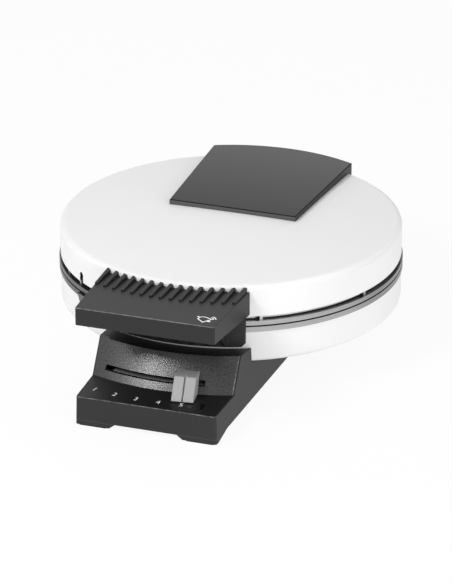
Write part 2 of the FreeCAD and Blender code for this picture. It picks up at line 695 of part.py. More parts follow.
def indicator_lenses():
    return Part.makeCompound([lens_box(0, SHELF_HEIGHT - BASE_WALL, SHELF_HEIGHT, x) for x in LENS_X])


def terminal_block():
    width, length, height = TERMINAL_SIZE
    block = box(-width / 2, width / 2, TERMINAL_Y, TERMINAL_Y + length, BOTTOM_TOP, BOTTOM_TOP + height)
    wells = [upright(SCREW_RADIUS, BOTTOM_TOP + height / 2, BOTTOM_TOP + height, x, TERMINAL_Y + length / 2)
             for x in (-width / 3, 0, width / 3)]
    return block.cut(wells)


def cord_inlet():
    rear = V(GLAND_X, BASE_REAR, GLAND_HEIGHT)
    inner = V(GLAND_X, BASE_REAR - BASE_WALL - GLAND_TAIL, GLAND_HEIGHT)
    nut_start = V(GLAND_X, BASE_REAR - BASE_WALL - GLAND_FLANGE, GLAND_HEIGHT)
    body_length = GLAND_TAIL + BASE_WALL
    flange = Part.makeCylinder(GLAND_FLANGE_RADIUS, GLAND_FLANGE, rear, BACKWARD)
    body = Part.makeCylinder(GLAND_BODY_RADIUS - PRESS_CLEARANCE, body_length, inner, BACKWARD)
    nut = Part.makeCylinder(GLAND_FLANGE_RADIUS, GLAND_FLANGE, nut_start, BACKWARD)
    bore = Part.makeCylinder(GLAND_BORE_RADIUS, body_length + GLAND_FLANGE, inner, BACKWARD)
    return joined([flange, body, nut]).cut(bore)


# Drum

def lower_shell():
    outer = upright(DRUM_RADIUS, SEAT_HEIGHT, LOWER_RIM_Z)
    foot_edge = [e for e in outer.Edges if e.BoundBox.ZMax < SEAT_HEIGHT + SHEET / 2]
    outer = outer.makeFillet(SHELL_EDGE_RADIUS, foot_edge)
    inner = upright(SHELL_INSIDE, SHELL_FLOOR, LOWER_RIM_Z - SHEET)
    floor_edge = [e for e in inner.Edges if e.BoundBox.ZMax < SHELL_FLOOR + SHEET / 2]
    inner = inner.makeFillet(SHELL_EDGE_RADIUS - SHEET, floor_edge)
    mouth = upright(HEM_RADIUS, LOWER_RIM_Z - SHEET, LOWER_RIM_Z)
    holes = [upright(SPINDLE_FLOOR_HOLE, SEAT_HEIGHT, SHELL_FLOOR)]
    holes += [upright(SCREW_HOLE, SEAT_HEIGHT, SHELL_FLOOR, x, y) for x, y in boss_places()]
    holes += [upright(SHIELD_LEG_HOLE, SEAT_HEIGHT, SHELL_FLOOR, 0, HEATER_RADIUS)]
    return outer.cut([inner, mouth] + holes)


def shell_slot():
    """The narrow round-topped slot in the lid's wall, left of the handle."""
    top = RING_TOP + SHELL_SLOT_HEIGHT - SHELL_SLOT_WIDTH / 2
    half = SHELL_SLOT_WIDTH / 2
    slot = box(-half, half, -RIM_RADIUS, -HEM_RADIUS + HEM_WIDTH, RING_TOP, top)
    arch = Part.makeCylinder(half, HEM_WIDTH, V(0, -RIM_RADIUS, top), BACKWARD)
    return to_phi(slot.fuse(arch), SHELL_SLOT_PHI)


def upper_shell():
    outer = drum_with_dome(DRUM_RADIUS, RING_TOP, SHOULDER_Z, DOME_RISE, SHELL_EDGE_RADIUS)
    inner = drum_with_dome(SHELL_INSIDE, RING_TOP + SHEET, SHOULDER_Z - SHEET, DOME_RISE,
                           SHELL_EDGE_RADIUS - SHEET)
    mouth = upright(HEM_RADIUS, RING_TOP, RING_TOP + SHEET)
    arm_slot = box(ARM_INNER - ARM_CLEARANCE, ARM_OUTER + ARM_CLEARANCE, DRUM_RADIUS / 2, DRUM_RADIUS,
                   UPPER_PLATE_BACK - ARM_CLEARANCE, ARM_TOP + ARM_CLEARANCE)
    lead_hole = Part.makeCylinder(LEAD_RADIUS + LEAD_HOLE_CLEARANCE, DRUM_RADIUS / 2,
                                  V(LEAD_X, DRUM_RADIUS / 2, LEAD_ENTRY_Z), BACKWARD)
    cuts = [inner, mouth, shell_slot(), lead_hole] + both_sides(arm_slot)
    cuts += [screw_hole(V(x, -DRUM_RADIUS / 2, handle_screw_z()), FORWARD, DRUM_RADIUS / 2)
             for x in (-HANDLE_SCREW_X, HANDLE_SCREW_X)]
    cuts += cover_screw_holes()
    return outer.cut(cuts)


def baking_grid(z0, z1):
    """Crossed grooves over the baking face, set square to the diagonals."""
    lines = int(BAKING_RADIUS / GRID_PITCH)
    half = GRID_WIDTH / 2
    bars = []
    for i in range(-lines, lines + 1):
        place = i * GRID_PITCH
        bars.append(box(place - half, place + half, -BAKING_RADIUS, BAKING_RADIUS, z0, z1))
        bars.append(box(-BAKING_RADIUS, BAKING_RADIUS, place - half, place + half, z0, z1))
    grid = bars[0].multiFuse(bars[1:]).common(upright(BAKING_RADIUS, z0, z1))
    grid.rotate(V(0, 0, 0), UP, 45)
    return grid


def heater_channel(z0, z1):
    width = HEATER_TUBE_RADIUS + HEATER_SIDE_CLEARANCE
    return turned([(HEATER_RADIUS - width, z0), (HEATER_RADIUS + width, z0),
                   (HEATER_RADIUS + width, z1), (HEATER_RADIUS - width, z1)])


def channel_depth():
    return 2 * HEATER_TUBE_RADIUS + HEATER_CLEARANCE


def rim_lug():
    """The tongue on the lower plate's edge, left of the handle, which narrows downwards."""
    low = LOWER_RIM_Z - LUG_DROP
    top = LUG_TOP_WIDTH / 2
    foot_half = LUG_FOOT_WIDTH / 2
    outline = prism_xz([(-foot_half, low), (foot_half, low), (top, LOWER_RIM_TOP),
                        (-top, LOWER_RIM_TOP)], -FAR, 0)
    outer = upright(RIM_RADIUS + LUG_THICKNESS, low, LOWER_RIM_TOP)
    inner = upright(DRUM_RADIUS + LUG_GAP, low, LOWER_RIM_TOP)
    return outer.cut(inner).common(to_phi(outline, LUG_PHI))


def lower_bake_plate():
    rim = upright(RIM_RADIUS, LOWER_RIM_Z, LOWER_RIM_TOP)
    disc = upright(PLATE_RADIUS, LOWER_PLATE_BACK, LOWER_RIM_Z)
    bosses = [upright(BOSS_RADIUS, LOWER_SHIELD_TOP, LOWER_PLATE_BACK, x, y) for x, y in boss_places()]
    plate = joined([rim, disc, rim_lug()] + bosses)
    cuts = [upright(BAKING_RADIUS, LOWER_BAKING_Z, LOWER_RIM_TOP),
            baking_grid(LOWER_BAKING_Z - GRID_DEPTH, LOWER_BAKING_Z),
            heater_channel(LOWER_PLATE_BACK, LOWER_PLATE_BACK + channel_depth())]
    cuts += [upright(SCREW_HOLE, LOWER_SHIELD_TOP, LOWER_SHIELD_TOP + PLATE_SCREW_GRIP, x, y)
             for x, y in boss_places()]
    return plate.cut(cuts)


def upper_bake_plate():
    rim = upright(RIM_RADIUS, UPPER_RIM_Z, UPPER_RIM_TOP)
    disc = upright(PLATE_RADIUS, UPPER_RIM_TOP, UPPER_PLATE_BACK)
    bosses = [upright(BOSS_RADIUS, UPPER_PLATE_BACK, UPPER_SHIELD_Z, x, y) for x, y in boss_places()]
    plate = joined([rim, disc] + bosses)
    cuts = [upright(BAKING_RADIUS, UPPER_RIM_Z, UPPER_BAKING_Z),
            baking_grid(UPPER_BAKING_Z, UPPER_BAKING_Z + GRID_DEPTH),
            heater_channel(UPPER_PLATE_BACK - channel_depth(), UPPER_PLATE_BACK)]
    cuts += [upright(SCREW_HOLE, UPPER_SHIELD_Z - PLATE_SCREW_GRIP, UPPER_SHIELD_Z, x, y)
             for x, y in boss_places()]
    cuts += [upright(SCREW_HOLE, UPPER_PLATE_BACK - SHORT_SCREW + BRACKET_PLATE, UPPER_PLATE_BACK, x, y)
             for x, y in bracket_screw_places()]
    return plate.cut(cuts)


def clip_phis():
    return [CLIP_FIRST_PHI + 360.0 * i / CLIP_COUNT for i in range(CLIP_COUNT)]


def rim_ring():
    ring = turned([(RING_RADIUS - RING_WALL, UPPER_RIM_TOP), (RING_RADIUS, UPPER_RIM_TOP),
                   (RING_RADIUS, RING_TOP), (RING_RADIUS - RING_WALL, RING_TOP)])
    half = math.degrees(NOTCH_WIDTH / RING_RADIUS) / 2
    offset = math.degrees(NOTCH_OFFSET / RING_RADIUS)
    phis = [phi - offset for phi in clip_phis()] + [SHELL_SLOT_PHI]
    notches = [sector(RING_RADIUS - NOTCH_DEPTH, RING_RADIUS + NOTCH_DEPTH, UPPER_RIM_TOP, RING_TOP,
                      phi - half, phi + half) for phi in phis]
    return ring.cut(notches)


def rim_clips():
    half = math.degrees(CLIP_WIDTH / RING_RADIUS) / 2
    slot_clip = SHELL_SLOT_PHI - math.degrees(SLOT_CLIP_OFFSET / RING_RADIUS)
    return Part.makeCompound([sector(RING_RADIUS, RING_RADIUS + CLIP_DEPTH, UPPER_RIM_TOP, RING_TOP,
                                     phi - half, phi + half) for phi in clip_phis() + [slot_clip]])


def heater(level, leg_direction):
    """A tubular ring with a gap at the rear, where its two ends turn away from the plate."""
    start = math.radians(90 + HEATER_GAP_DEG / 2)
    end = math.radians(450 - HEATER_GAP_DEG / 2)
    leg_level = level + leg_direction * HEATER_BEND_RADIUS
    leg_end = leg_level + leg_direction * HEATER_LEG
    bend = math.sqrt(0.5)

    def on_ring(angle):
        return V(HEATER_RADIUS * math.cos(angle), HEATER_RADIUS * math.sin(angle), level)

    def leg(angle, side):
        tip = on_ring(angle)
        tangent = V(-math.sin(angle), math.cos(angle), 0) * side
        foot_point = tip + tangent * HEATER_BEND_RADIUS
        middle = tip + tangent * (HEATER_BEND_RADIUS * bend)
        middle.z = level + leg_direction * HEATER_BEND_RADIUS * (1 - bend)
        corner = V(foot_point.x, foot_point.y, leg_level)
        return tip, middle, corner, V(foot_point.x, foot_point.y, leg_end)

    tip0, middle0, corner0, end0 = leg(start, -1)
    tip1, middle1, corner1, end1 = leg(end, 1)
    edges = [Part.LineSegment(end0, corner0).toShape(),
             Part.Arc(corner0, middle0, tip0).toShape(),
             Part.Arc(tip0, on_ring((start + end) / 2), tip1).toShape(),
             Part.Arc(tip1, middle1, corner1).toShape(),
             Part.LineSegment(corner1, end1).toShape()]
    path = Part.Wire(edges)
    section = Part.Wire(Part.makeCircle(HEATER_TUBE_RADIUS, end0, UP))
    return path.makePipeShell([section], True, False)


def heater_leg_places():
    angle = math.radians(90 + HEATER_GAP_DEG / 2)
    x = HEATER_RADIUS * math.cos(angle) + HEATER_BEND_RADIUS * math.sin(angle)
    y = HEATER_RADIUS * math.sin(angle) - HEATER_BEND_RADIUS * math.cos(angle)
    return [(x, y), (-x, y)]


def heat_shield(z0, heater_turn):
    shield = upright(SHIELD_RADIUS, z0, z0 + SHIELD_THICKNESS)
    holes = [upright(SHIELD_CENTRE_HOLE, z0, z0 + SHIELD_THICKNESS)]
    holes += [upright(SCREW_HOLE, z0, z0 + SHIELD_THICKNESS, x, y) for x, y in boss_places()]
    holes += [to_phi(upright(SHIELD_LEG_HOLE, z0, z0 + SHIELD_THICKNESS, x, y), heater_turn)
              for x, y in heater_leg_places()]
    return shield.cut(holes)


def lower_plate_screws():
    length = LOWER_SHIELD_TOP + PLATE_SCREW_GRIP - SCREW_CLEARANCE - CEILING
    return Part.makeCompound([screw(V(x, y, CEILING), UP, length) for x, y in boss_places()])


def upper_plate_screws():
    length = SHIELD_THICKNESS + PLATE_SCREW_GRIP - SCREW_CLEARANCE
    seat = UPPER_SHIELD_Z + SHIELD_THICKNESS
    return Part.makeCompound([screw(V(x, y, seat), DOWN, length) for x, y in boss_places()])


def thermal_fuse():
    width, length, height = FUSE_SIZE
    x = -HEATER_RADIUS + FUSE_INSIDE_HEATER
    y = FUSE_Y
    return box(x - width / 2, x + width / 2, y - length / 2, y + length / 2,
               UPPER_PLATE_BACK, UPPER_PLATE_BACK + height)


# Thermostat and browning slider

def thermostat():
    bottom = LOWER_PLATE_BACK - THERMOSTAT_HEIGHT
    body = upright(THERMOSTAT_RADIUS, bottom, LOWER_PLATE_BACK)
    socket = upright(SPINDLE_RADIUS + RUNNING_CLEARANCE, bottom, bottom + SPINDLE_SOCKET_DEPTH)
    return body.cut(socket)


def thermostat_spindle():
    top = LOWER_PLATE_BACK - THERMOSTAT_HEIGHT + SPINDLE_SOCKET_DEPTH - SPINDLE_END_GAP
    return upright(SPINDLE_RADIUS, LEVER_Z - CLIP_RING_THICKNESS - SPINDLE_TAIL, top)


def spindle_clip():
    z0 = LEVER_Z - CLIP_RING_THICKNESS
    ring = upright(CLIP_RING_RADIUS, z0, LEVER_Z)
    return ring.cut(upright(SPINDLE_RADIUS + PRESS_CLEARANCE, z0, LEVER_Z))


def selector_lever():
    top = LEVER_Z + LEVER_THICKNESS
    hub = upright(LEVER_HUB_RADIUS, LEVER_Z, top)
    bar = box(-LEVER_WIDTH / 2, LEVER_WIDTH / 2, -LEVER_REACH, 0, LEVER_Z, top)
    lever = hub.fuse(bar).removeSplitter().cut(upright(SPINDLE_RADIUS + PRESS_CLEARANCE, LEVER_Z, top))
    return to_phi(lever, SLIDER_REST_PHI)


def panel_radius(z):
    return PANEL_FOOT_RADIUS + (z - SHELF_HEIGHT) * PANEL_SLOPE


def selector_knob():
    bottom = SHELF_HEIGHT + KNOB_BOTTOM_GAP
    top = bottom + KNOB_HEIGHT
    back_foot = panel_radius(bottom) + KNOB_PANEL_GAP
    back_top = panel_radius(top) + KNOB_PANEL_GAP
    front_foot = back_foot + KNOB_FOOT_DEPTH
    front_top = back_top + KNOB_TOP_DEPTH
    half = KNOB_WIDTH / 2
    block = prism_yz([(-back_foot, bottom), (-front_foot, bottom), (-front_top, top), (-back_top, top)],
                     -half, half)
    block = block.makeFillet(KNOB_EDGE_RADIUS, block.Edges)
    groove = prism_yz([(-front_foot - KNOB_GROOVE_DEPTH, bottom), (-front_top - KNOB_GROOVE_DEPTH, top),
                       (-front_top + KNOB_GROOVE_DEPTH, top), (-front_foot + KNOB_GROOVE_DEPTH, bottom)],
                      -KNOB_GROOVE_WIDTH / 2, KNOB_GROOVE_WIDTH / 2)
    pocket = box(-LEVER_WIDTH / 2 - KNOB_FIT, LEVER_WIDTH / 2 + KNOB_FIT, -LEVER_REACH - KNOB_FIT, 0,
                 LEVER_Z - KNOB_FIT, LEVER_Z + LEVER_THICKNESS + KNOB_FIT)
    return to_phi(block.cut([groove, pocket]), SLIDER_REST_PHI)


def lever_rail():
    top = LEVER_Z - RAIL_GAP
    bottom = top - RAIL_THICKNESS
    inner = panel_radius(top) - PANEL_DEPTH - RAIL_DEPTH
    strip = sector(inner, PANEL_FOOT_RADIUS, bottom, top, RAIL_PHI_START, RAIL_PHI_END)
    back_of_panel = turned([(0, SHELF_HEIGHT), (PANEL_BACK_FOOT, SHELF_HEIGHT), (PANEL_BACK_TOP, DECK_HEIGHT),
                            (0, DECK_HEIGHT)])
    return strip.common(back_of_panel)


# Hinge

def hinge_pins():
    inner_end = ARM_INNER - ARM_CLEARANCE - CLIP_RING_THICKNESS - ARM_CLEARANCE
    shank = across(PIN_RADIUS, inner_end, EAR_OUTER, HINGE_Y, HINGE_Z)
    head = across(PIN_HEAD_RADIUS, EAR_OUTER, EAR_OUTER + PIN_HEAD, HINGE_Y, HINGE_Z)
    return Part.makeCompound(both_sides(shank.fuse(head).removeSplitter()))


def hinge_pin_clips():
    outer_face = ARM_INNER - ARM_CLEARANCE
    inner_face = outer_face - CLIP_RING_THICKNESS
    ring = across(CLIP_RING_RADIUS, inner_face, outer_face, HINGE_Y, HINGE_Z)
    clip = ring.cut(across(PIN_RADIUS + PRESS_CLEARANCE, inner_face, outer_face, HINGE_Y, HINGE_Z))
    return Part.makeCompound(both_sides(clip))


def hinge_bushes():
    sleeve = across(BUSH_RADIUS, ARM_INNER, ARM_OUTER, HINGE_Y, HINGE_Z)
    bush = sleeve.cut(across(PIN_RADIUS + RUNNING_CLEARANCE, ARM_INNER, ARM_OUTER, HINGE_Y, HINGE_Z))
    return Part.makeCompound(both_sides(bush))


def bracket_screw_places():
    y = ARM_FRONT_Y + BRACKET_PLATE_LENGTH / 2
    return [(-BRACKET_SCREW_X, y), (BRACKET_SCREW_X, y)]


def lid_hinge_bracket():
    front_of_arm = HINGE_Y - KNUCKLE_RADIUS
    bar = box(ARM_INNER, ARM_OUTER, ARM_FRONT_Y, ARM_REAR_Y, UPPER_PLATE_BACK, ARM_TOP)
    drop = box(ARM_INNER, ARM_OUTER, front_of_arm, ARM_REAR_Y, HINGE_Z, ARM_TOP)
    knuckle = across(KNUCKLE_RADIUS, ARM_INNER, ARM_OUTER, HINGE_Y, HINGE_Z)
    bore = across(BUSH_RADIUS + PRESS_CLEARANCE, ARM_INNER, ARM_OUTER, HINGE_Y, HINGE_Z)
    arm = joined([bar, drop, knuckle]).cut(bore)
    plate = box(-ARM_OUTER, ARM_OUTER, ARM_FRONT_Y, ARM_FRONT_Y + BRACKET_PLATE_LENGTH, UPPER_PLATE_BACK,
                UPPER_PLATE_BACK + BRACKET_PLATE)
    holes = [upright(SCREW_HOLE, UPPER_PLATE_BACK, UPPER_PLATE_BACK + BRACKET_PLATE, x, y)
             for x, y in bracket_screw_places()]
    return joined(both_sides(arm) + [plate]).cut(holes)


def bracket_screws():
    seat = UPPER_PLATE_BACK + BRACKET_PLATE
    length = SHORT_SCREW - SCREW_CLEARANCE
    return Part.makeCompound([screw(V(x, y, seat), DOWN, length) for x, y in bracket_screw_places()])


def lead(edges, start, direction):
    path = Part.Wire(edges)
    section = Part.Wire(Part.makeCircle(LEAD_RADIUS, start, direction))
    return path.makePipeShell([section], True, False)


def lead_turn(side, end_z):
    """The stretch along the hinge axis and the quarter turn off it, towards end_z."""
    rise = LEAD_BEND if end_z > HINGE_Z else -LEAD_BEND
    bend = math.sqrt(0.5)
    start = V(side * LEAD_GAP / 2, HINGE_Y, HINGE_Z)
    turn = V(side * LEAD_STRAIGHT, HINGE_Y, HINGE_Z)
    middle = V(side * (LEAD_STRAIGHT + LEAD_BEND * bend), HINGE_Y, HINGE_Z + rise * (1 - bend))
    corner = V(side * LEAD_X, HINGE_Y, HINGE_Z + rise)
    return start, corner, [Part.LineSegment(start, turn).toShape(), Part.Arc(turn, middle, corner).toShape()]


def lid_lead_lower():
    terminal_rear = TERMINAL_Y + TERMINAL_SIZE[1]
    entry_z = BOTTOM_TOP + TERMINAL_SIZE[2] / 2
    bend_radius = HINGE_Y - terminal_rear - LEAD_STRAIGHT
    bend = math.sqrt(0.5)
    start, corner, edges = lead_turn(-1, 0)
    foot_corner = V(-LEAD_X, HINGE_Y, entry_z + bend_radius)
    middle = V(-LEAD_X, HINGE_Y - bend_radius * (1 - bend), entry_z + bend_radius * (1 - bend))
    turn_end = V(-LEAD_X, HINGE_Y - bend_radius, entry_z)
    edges += [Part.LineSegment(corner, foot_corner).toShape(),
              Part.Arc(foot_corner, middle, turn_end).toShape(),
              Part.LineSegment(turn_end, V(-LEAD_X, terminal_rear, entry_z)).toShape()]
    return lead(edges, start, V(1, 0, 0))


def lid_lead_upper():
    bend = math.sqrt(0.5)
    start, corner, edges = lead_turn(1, FAR)
    middle = V(LEAD_X, HINGE_Y - LEAD_ENTRY_BEND * (1 - bend), corner.z + LEAD_ENTRY_BEND * bend)
    turn_end = V(LEAD_X, HINGE_Y - LEAD_ENTRY_BEND, LEAD_ENTRY_Z)
    edges += [Part.Arc(corner, middle, turn_end).toShape(),
              Part.LineSegment(turn_end, V(LEAD_X, CONNECTOR_REAR_Y, LEAD_ENTRY_Z)).toShape()]
    return lead(edges, start, V(1, 0, 0))


def lid_connector():
    width, length, height = CONNECTOR_SIZE
    return box(LEAD_X - width / 2, LEAD_X + width / 2, CONNECTOR_REAR_Y - length, CONNECTOR_REAR_Y,
               UPPER_PLATE_BACK, UPPER_PLATE_BACK + height)


# Handle

def handle_plan(inset, z0, z1):
    return flared_plan(-HANDLE_REACH, 0, HANDLE_FRONT_HALF_WIDTH, HANDLE_LEFT_FLARE_DEG,
                       HANDLE_RIGHT_FLARE_DEG, inset, z0, z1)


def handle_top(y):
    return HANDLE_FRONT_TOP - (y + HANDLE_REACH) * HANDLE_TOP_SLOPE


def handle_bottom(y):
    return HANDLE_FRONT_BOTTOM - (y + HANDLE_REACH) * HANDLE_BOTTOM_SLOPE


def handle_wedge(wall, drop):
    """The handle's side outline across its whole width, pulled in by wall at the top and front."""
    front = -HANDLE_REACH + wall
    rear = -DRUM_RADIUS / 2
    return prism_yz([(front, handle_bottom(front) - drop), (front, handle_top(front) - wall),
                     (rear, handle_top(rear) - wall), (rear, handle_bottom(rear) - drop)], -FAR, FAR)


def handle_skirt():
    """The wall that hangs in front of the plates' edges, with a thicker middle."""
    top = handle_bottom(-DRUM_RADIUS) + HANDLE_WALL
    low = SKIRT_BOTTOM
    wide = SKIRT_HALF_WIDTH
    outline = prism_xz([(-wide, top), (-wide, low + SKIRT_CHAMFER), (-wide + SKIRT_CHAMFER, low),
                        (wide - SKIRT_CHAMFER, low), (wide, low + SKIRT_CHAMFER), (wide, top)], -FAR, 0)
    thin = upright(SKIRT_OUTER, low, top).cut(upright(SKIRT_INNER, low, top)).common(outline)
    thick = upright(SKIRT_OUTER + SKIRT_STEP, low, top).cut(upright(SKIRT_INNER, low, top))
    middle = box(-SKIRT_STEP_HALF_WIDTH, SKIRT_STEP_HALF_WIDTH, -FAR, 0, low + SKIRT_STEP, top)
    return thin.fuse(thick.common(middle))


def handle_gussets():
    """Fins at 45 degrees between the skirt and the handle's underside."""
    fins = []
    low = SKIRT_BOTTOM + GUSSET_RISE
    for i in range(GUSSET_COUNT):
        x = GUSSET_CENTRE_X + (i - (GUSSET_COUNT - 1) / 2) * GUSSET_PITCH
        skirt_y = -math.sqrt(SKIRT_OUTER ** 2 - x ** 2)
        toe = skirt_y - GUSSET_TOE
        top = handle_top(skirt_y) - HANDLE_WALL / 2
        reach = min(top - low, HANDLE_REACH - HANDLE_WALL / 2 + toe)
        root = skirt_y + SKIRT_WALL / 2
        fins.append(prism_yz([(root, low), (toe, low), (toe - reach, low + reach), (toe - reach, top),
                              (root, top)],
                             x - GUSSET_THICKNESS / 2, x + GUSSET_THICKNESS / 2))
    return fins


def handle_rib(x):
    """One tapered grip rib, from its low nose at the front to its tall end at the drum."""
    front = -math.sqrt(RIB_FRONT_RADIUS ** 2 - x ** 2)
    rear = -math.sqrt(DRUM_RADIUS ** 2 - x ** 2) + HANDLE_WALL
    nose_top = handle_top(front) + RIB_FRONT_HEIGHT
    low = handle_top(rear) - HANDLE_WALL / 2
    side_view = prism_yz([(front, low), (front, nose_top - RIB_NOSE), (front + RIB_NOSE, nose_top),
                          (rear, RIB_REAR_TOP), (rear, low)], x - RIB_REAR_WIDTH, x + RIB_REAR_WIDTH)
    plan = prism_xy([(x - RIB_NOSE_WIDTH / 2, front), (x + RIB_NOSE_WIDTH / 2, front),
                     (x + RIB_REAR_WIDTH / 2, rear), (x - RIB_REAR_WIDTH / 2, rear)], low, DOME_TOP)
    rib = side_view.common(plan)
    crest = [e for e in rib.Edges
             if e.BoundBox.YLength > RIB_REACH / 2 and e.BoundBox.ZMin > handle_top(front)]
    return rib.makeChamfer(RIB_TOP_CHAMFER, crest)


def handle_screw_z():
    return handle_top(-DRUM_RADIUS) - HANDLE_SCREW_DROP


def handle():
    low = SKIRT_BOTTOM
    high = DOME_TOP
    plan = handle_plan(0, low, high)
    front_edges = [e for e in plan.Edges
                   if e.BoundBox.YMax < -HANDLE_REACH + TOUCH and e.BoundBox.XLength < TOUCH]
    outer = handle_wedge(0, 0).common(plan.makeFillet(HANDLE_CORNER_RADIUS, front_edges))
    top_face = max(outer.Faces, key=lambda face: face.CenterOfMass.z)
    rim = [e for e in top_face.Edges if e.BoundBox.YMin < -DRUM_RADIUS]
    outer = outer.makeFillet(HANDLE_EDGE_RADIUS, rim)
    drum = upright(DRUM_RADIUS + HANDLE_SEAT_GAP, low, high)
    back_wall = upright(DRUM_RADIUS + HANDLE_SEAT_GAP + HANDLE_WALL, low, high)
    cavity = handle_wedge(HANDLE_WALL, FAR).common(handle_plan(HANDLE_WALL, -FAR, high)).cut(back_wall)
    tray = outer.cut([cavity, drum])
    ribs = [handle_rib(RIB_FIRST_X + i * RIB_PITCH) for i in range(RIB_COUNT)]
    bosses = [Part.makeCylinder(HANDLE_BOSS_RADIUS, HANDLE_WALL + SHORT_SCREW,
                                V(x, -handle_boss_end(x), handle_screw_z()), BACKWARD)
              for x in (-HANDLE_SCREW_X, HANDLE_SCREW_X)]
    body = joined([tray, handle_skirt()] + handle_gussets() + ribs + bosses)
    lower_clear = upright(SKIRT_INNER, low, UPPER_RIM_TOP)
    screws = [screw_hole(V(x, 0, handle_screw_z()), FORWARD, handle_boss_end(x) - SCREW_CLEARANCE)
              for x in (-HANDLE_SCREW_X, HANDLE_SCREW_X)]
    return body.cut([drum, lower_clear] + screws)


def handle_boss_end(x):
    return math.sqrt(DRUM_RADIUS ** 2 - x ** 2) + HANDLE_WALL + SHORT_SCREW


def handle_screws():
    screws = []
    for x in (-HANDLE_SCREW_X, HANDLE_SCREW_X):
        seat_y = -math.sqrt(SHELL_INSIDE ** 2 - (abs(x) + SCREW_HEAD_RADIUS) ** 2)
        length = handle_boss_end(x) + seat_y - 2 * SCREW_CLEARANCE
        screws.append(screw(V(x, seat_y, handle_screw_z()), FORWARD, length))
    return Part.makeCompound(screws)


# Rear cover

def cover_block():
    """A flared slab over the dome, whose round rear end hangs down behind the drum."""
    plan = flared_plan(COVER_FRONT_Y, COVER_REAR_RADIUS, COVER_FRONT_HALF_WIDTH, COVER_FLARE_DEG,
                       COVER_FLARE_DEG, 0, COVER_HOOD_BOTTOM, COVER_TOP)
    block = to_phi(plan, COVER_TURN_DEG).common(upright(COVER_REAR_RADIUS, COVER_HOOD_BOTTOM, COVER_TOP))
    top_face = max(block.Faces, key=lambda face: face.CenterOfMass.z)
    return block.makeFillet(COVER_EDGE_RADIUS, top_face.Edges)


def cover_screw_seat():
    """The height at which the screws' heads touch the inside of the dome."""
    outermost = math.hypot(COVER_SCREW_X, COVER_SCREW_Y) + SCREW_HEAD_RADIUS
    dome_radius = dome_radius_of(SHELL_INSIDE, DOME_RISE)
    return DOME_TOP - SHEET - dome_radius + math.sqrt(dome_radius ** 2 - outermost ** 2)


def cover_screw_holes():
    return [upright(SCREW_HOLE, cover_screw_seat(), COVER_TOP - COVER_SKIN, x, COVER_SCREW_Y)
            for x in (-COVER_SCREW_X, COVER_SCREW_X)]


def rear_cover():
    drum = drum_with_dome(DRUM_RADIUS + COVER_SEAT_GAP, RING_TOP, SHOULDER_Z + COVER_SEAT_GAP, DOME_RISE,
                          SHELL_EDGE_RADIUS + COVER_SEAT_GAP)
    return cover_block().cut([drum] + cover_screw_holes())


def cover_screws():
    seat = cover_screw_seat()
    length = COVER_TOP - COVER_SKIN - SCREW_CLEARANCE - seat
    return Part.makeCompound([screw(V(x, COVER_SCREW_Y, seat), UP, length)
                              for x in (-COVER_SCREW_X, COVER_SCREW_X)])


# Whole object

def all_pieces():
    heater_lift = HEATER_TUBE_RADIUS
    return {
        "base_housing": base_housing(),
        "control_panel": control_panel(),
        "base_bottom": base_bottom(),
        "foot_pads": foot_pads(),
        "bottom_screws": bottom_screws(),
        "indicator_lenses": indicator_lenses(),
        "indicator_lamps": indicator_lamps(),
        "signal_board": signal_board(),
        "buzzer": buzzer(),
        "terminal_block": terminal_block(),
        "cord_inlet": cord_inlet(),
        "lower_shell": lower_shell(),
        "lower_bake_plate": lower_bake_plate(),
        "lower_heater": heater(LOWER_PLATE_BACK + heater_lift, -1),
        "lower_reflector": heat_shield(LOWER_SHIELD_TOP - SHIELD_THICKNESS, 0.0),
        "lower_plate_screws": lower_plate_screws(),
        "thermostat": thermostat(),
        "lever_rail": lever_rail(),
        "hinge_pins": hinge_pins(),
        "hinge_pin_clips": hinge_pin_clips(),
        "lid_lead_lower": lid_lead_lower(),
        "upper_shell": upper_shell(),
        "upper_bake_plate": upper_bake_plate(),
        "rim_ring": rim_ring(),
        "rim_clips": rim_clips(),
        "upper_heater": to_phi(heater(UPPER_PLATE_BACK - heater_lift, 1), UPPER_HEATER_TURN),
        "upper_reflector": heat_shield(UPPER_SHIELD_Z, UPPER_HEATER_TURN),
        "upper_plate_screws": upper_plate_screws(),
        "thermal_fuse": thermal_fuse(),
        "handle": handle(),
        "handle_screws": handle_screws(),
        "rear_cover": rear_cover(),
        "cover_screws": cover_screws(),
        "lid_hinge_bracket": lid_hinge_bracket(),
        "hinge_bushes": hinge_bushes(),
        "bracket_screws": bracket_screws(),
        "lid_lead_upper": lid_lead_upper(),
        "lid_connector": lid_connector(),
        "thermostat_spindle": thermostat_spindle(),
        "spindle_clip": spindle_clip(),
        "selector_lever": selector_lever(),
        "selector_knob": selector_knob(),
    }


def main():
    os.makedirs("parts", exist_ok=True)
    for name, shape in all_pieces().items():
        shape.translate(V(0, BODY_AXIS_Y, 0))
        shape.exportStep("parts/" + name + ".step")
        print(name, len(shape.Solids), "valid" if shape.isValid() else "NOT VALID", shape.BoundBox)


main()
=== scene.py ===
import math

import bpy
import bmesh
from bpy.props import FloatProperty, FloatVectorProperty, IntProperty, PointerProperty
from mathutils import Matrix, Vector


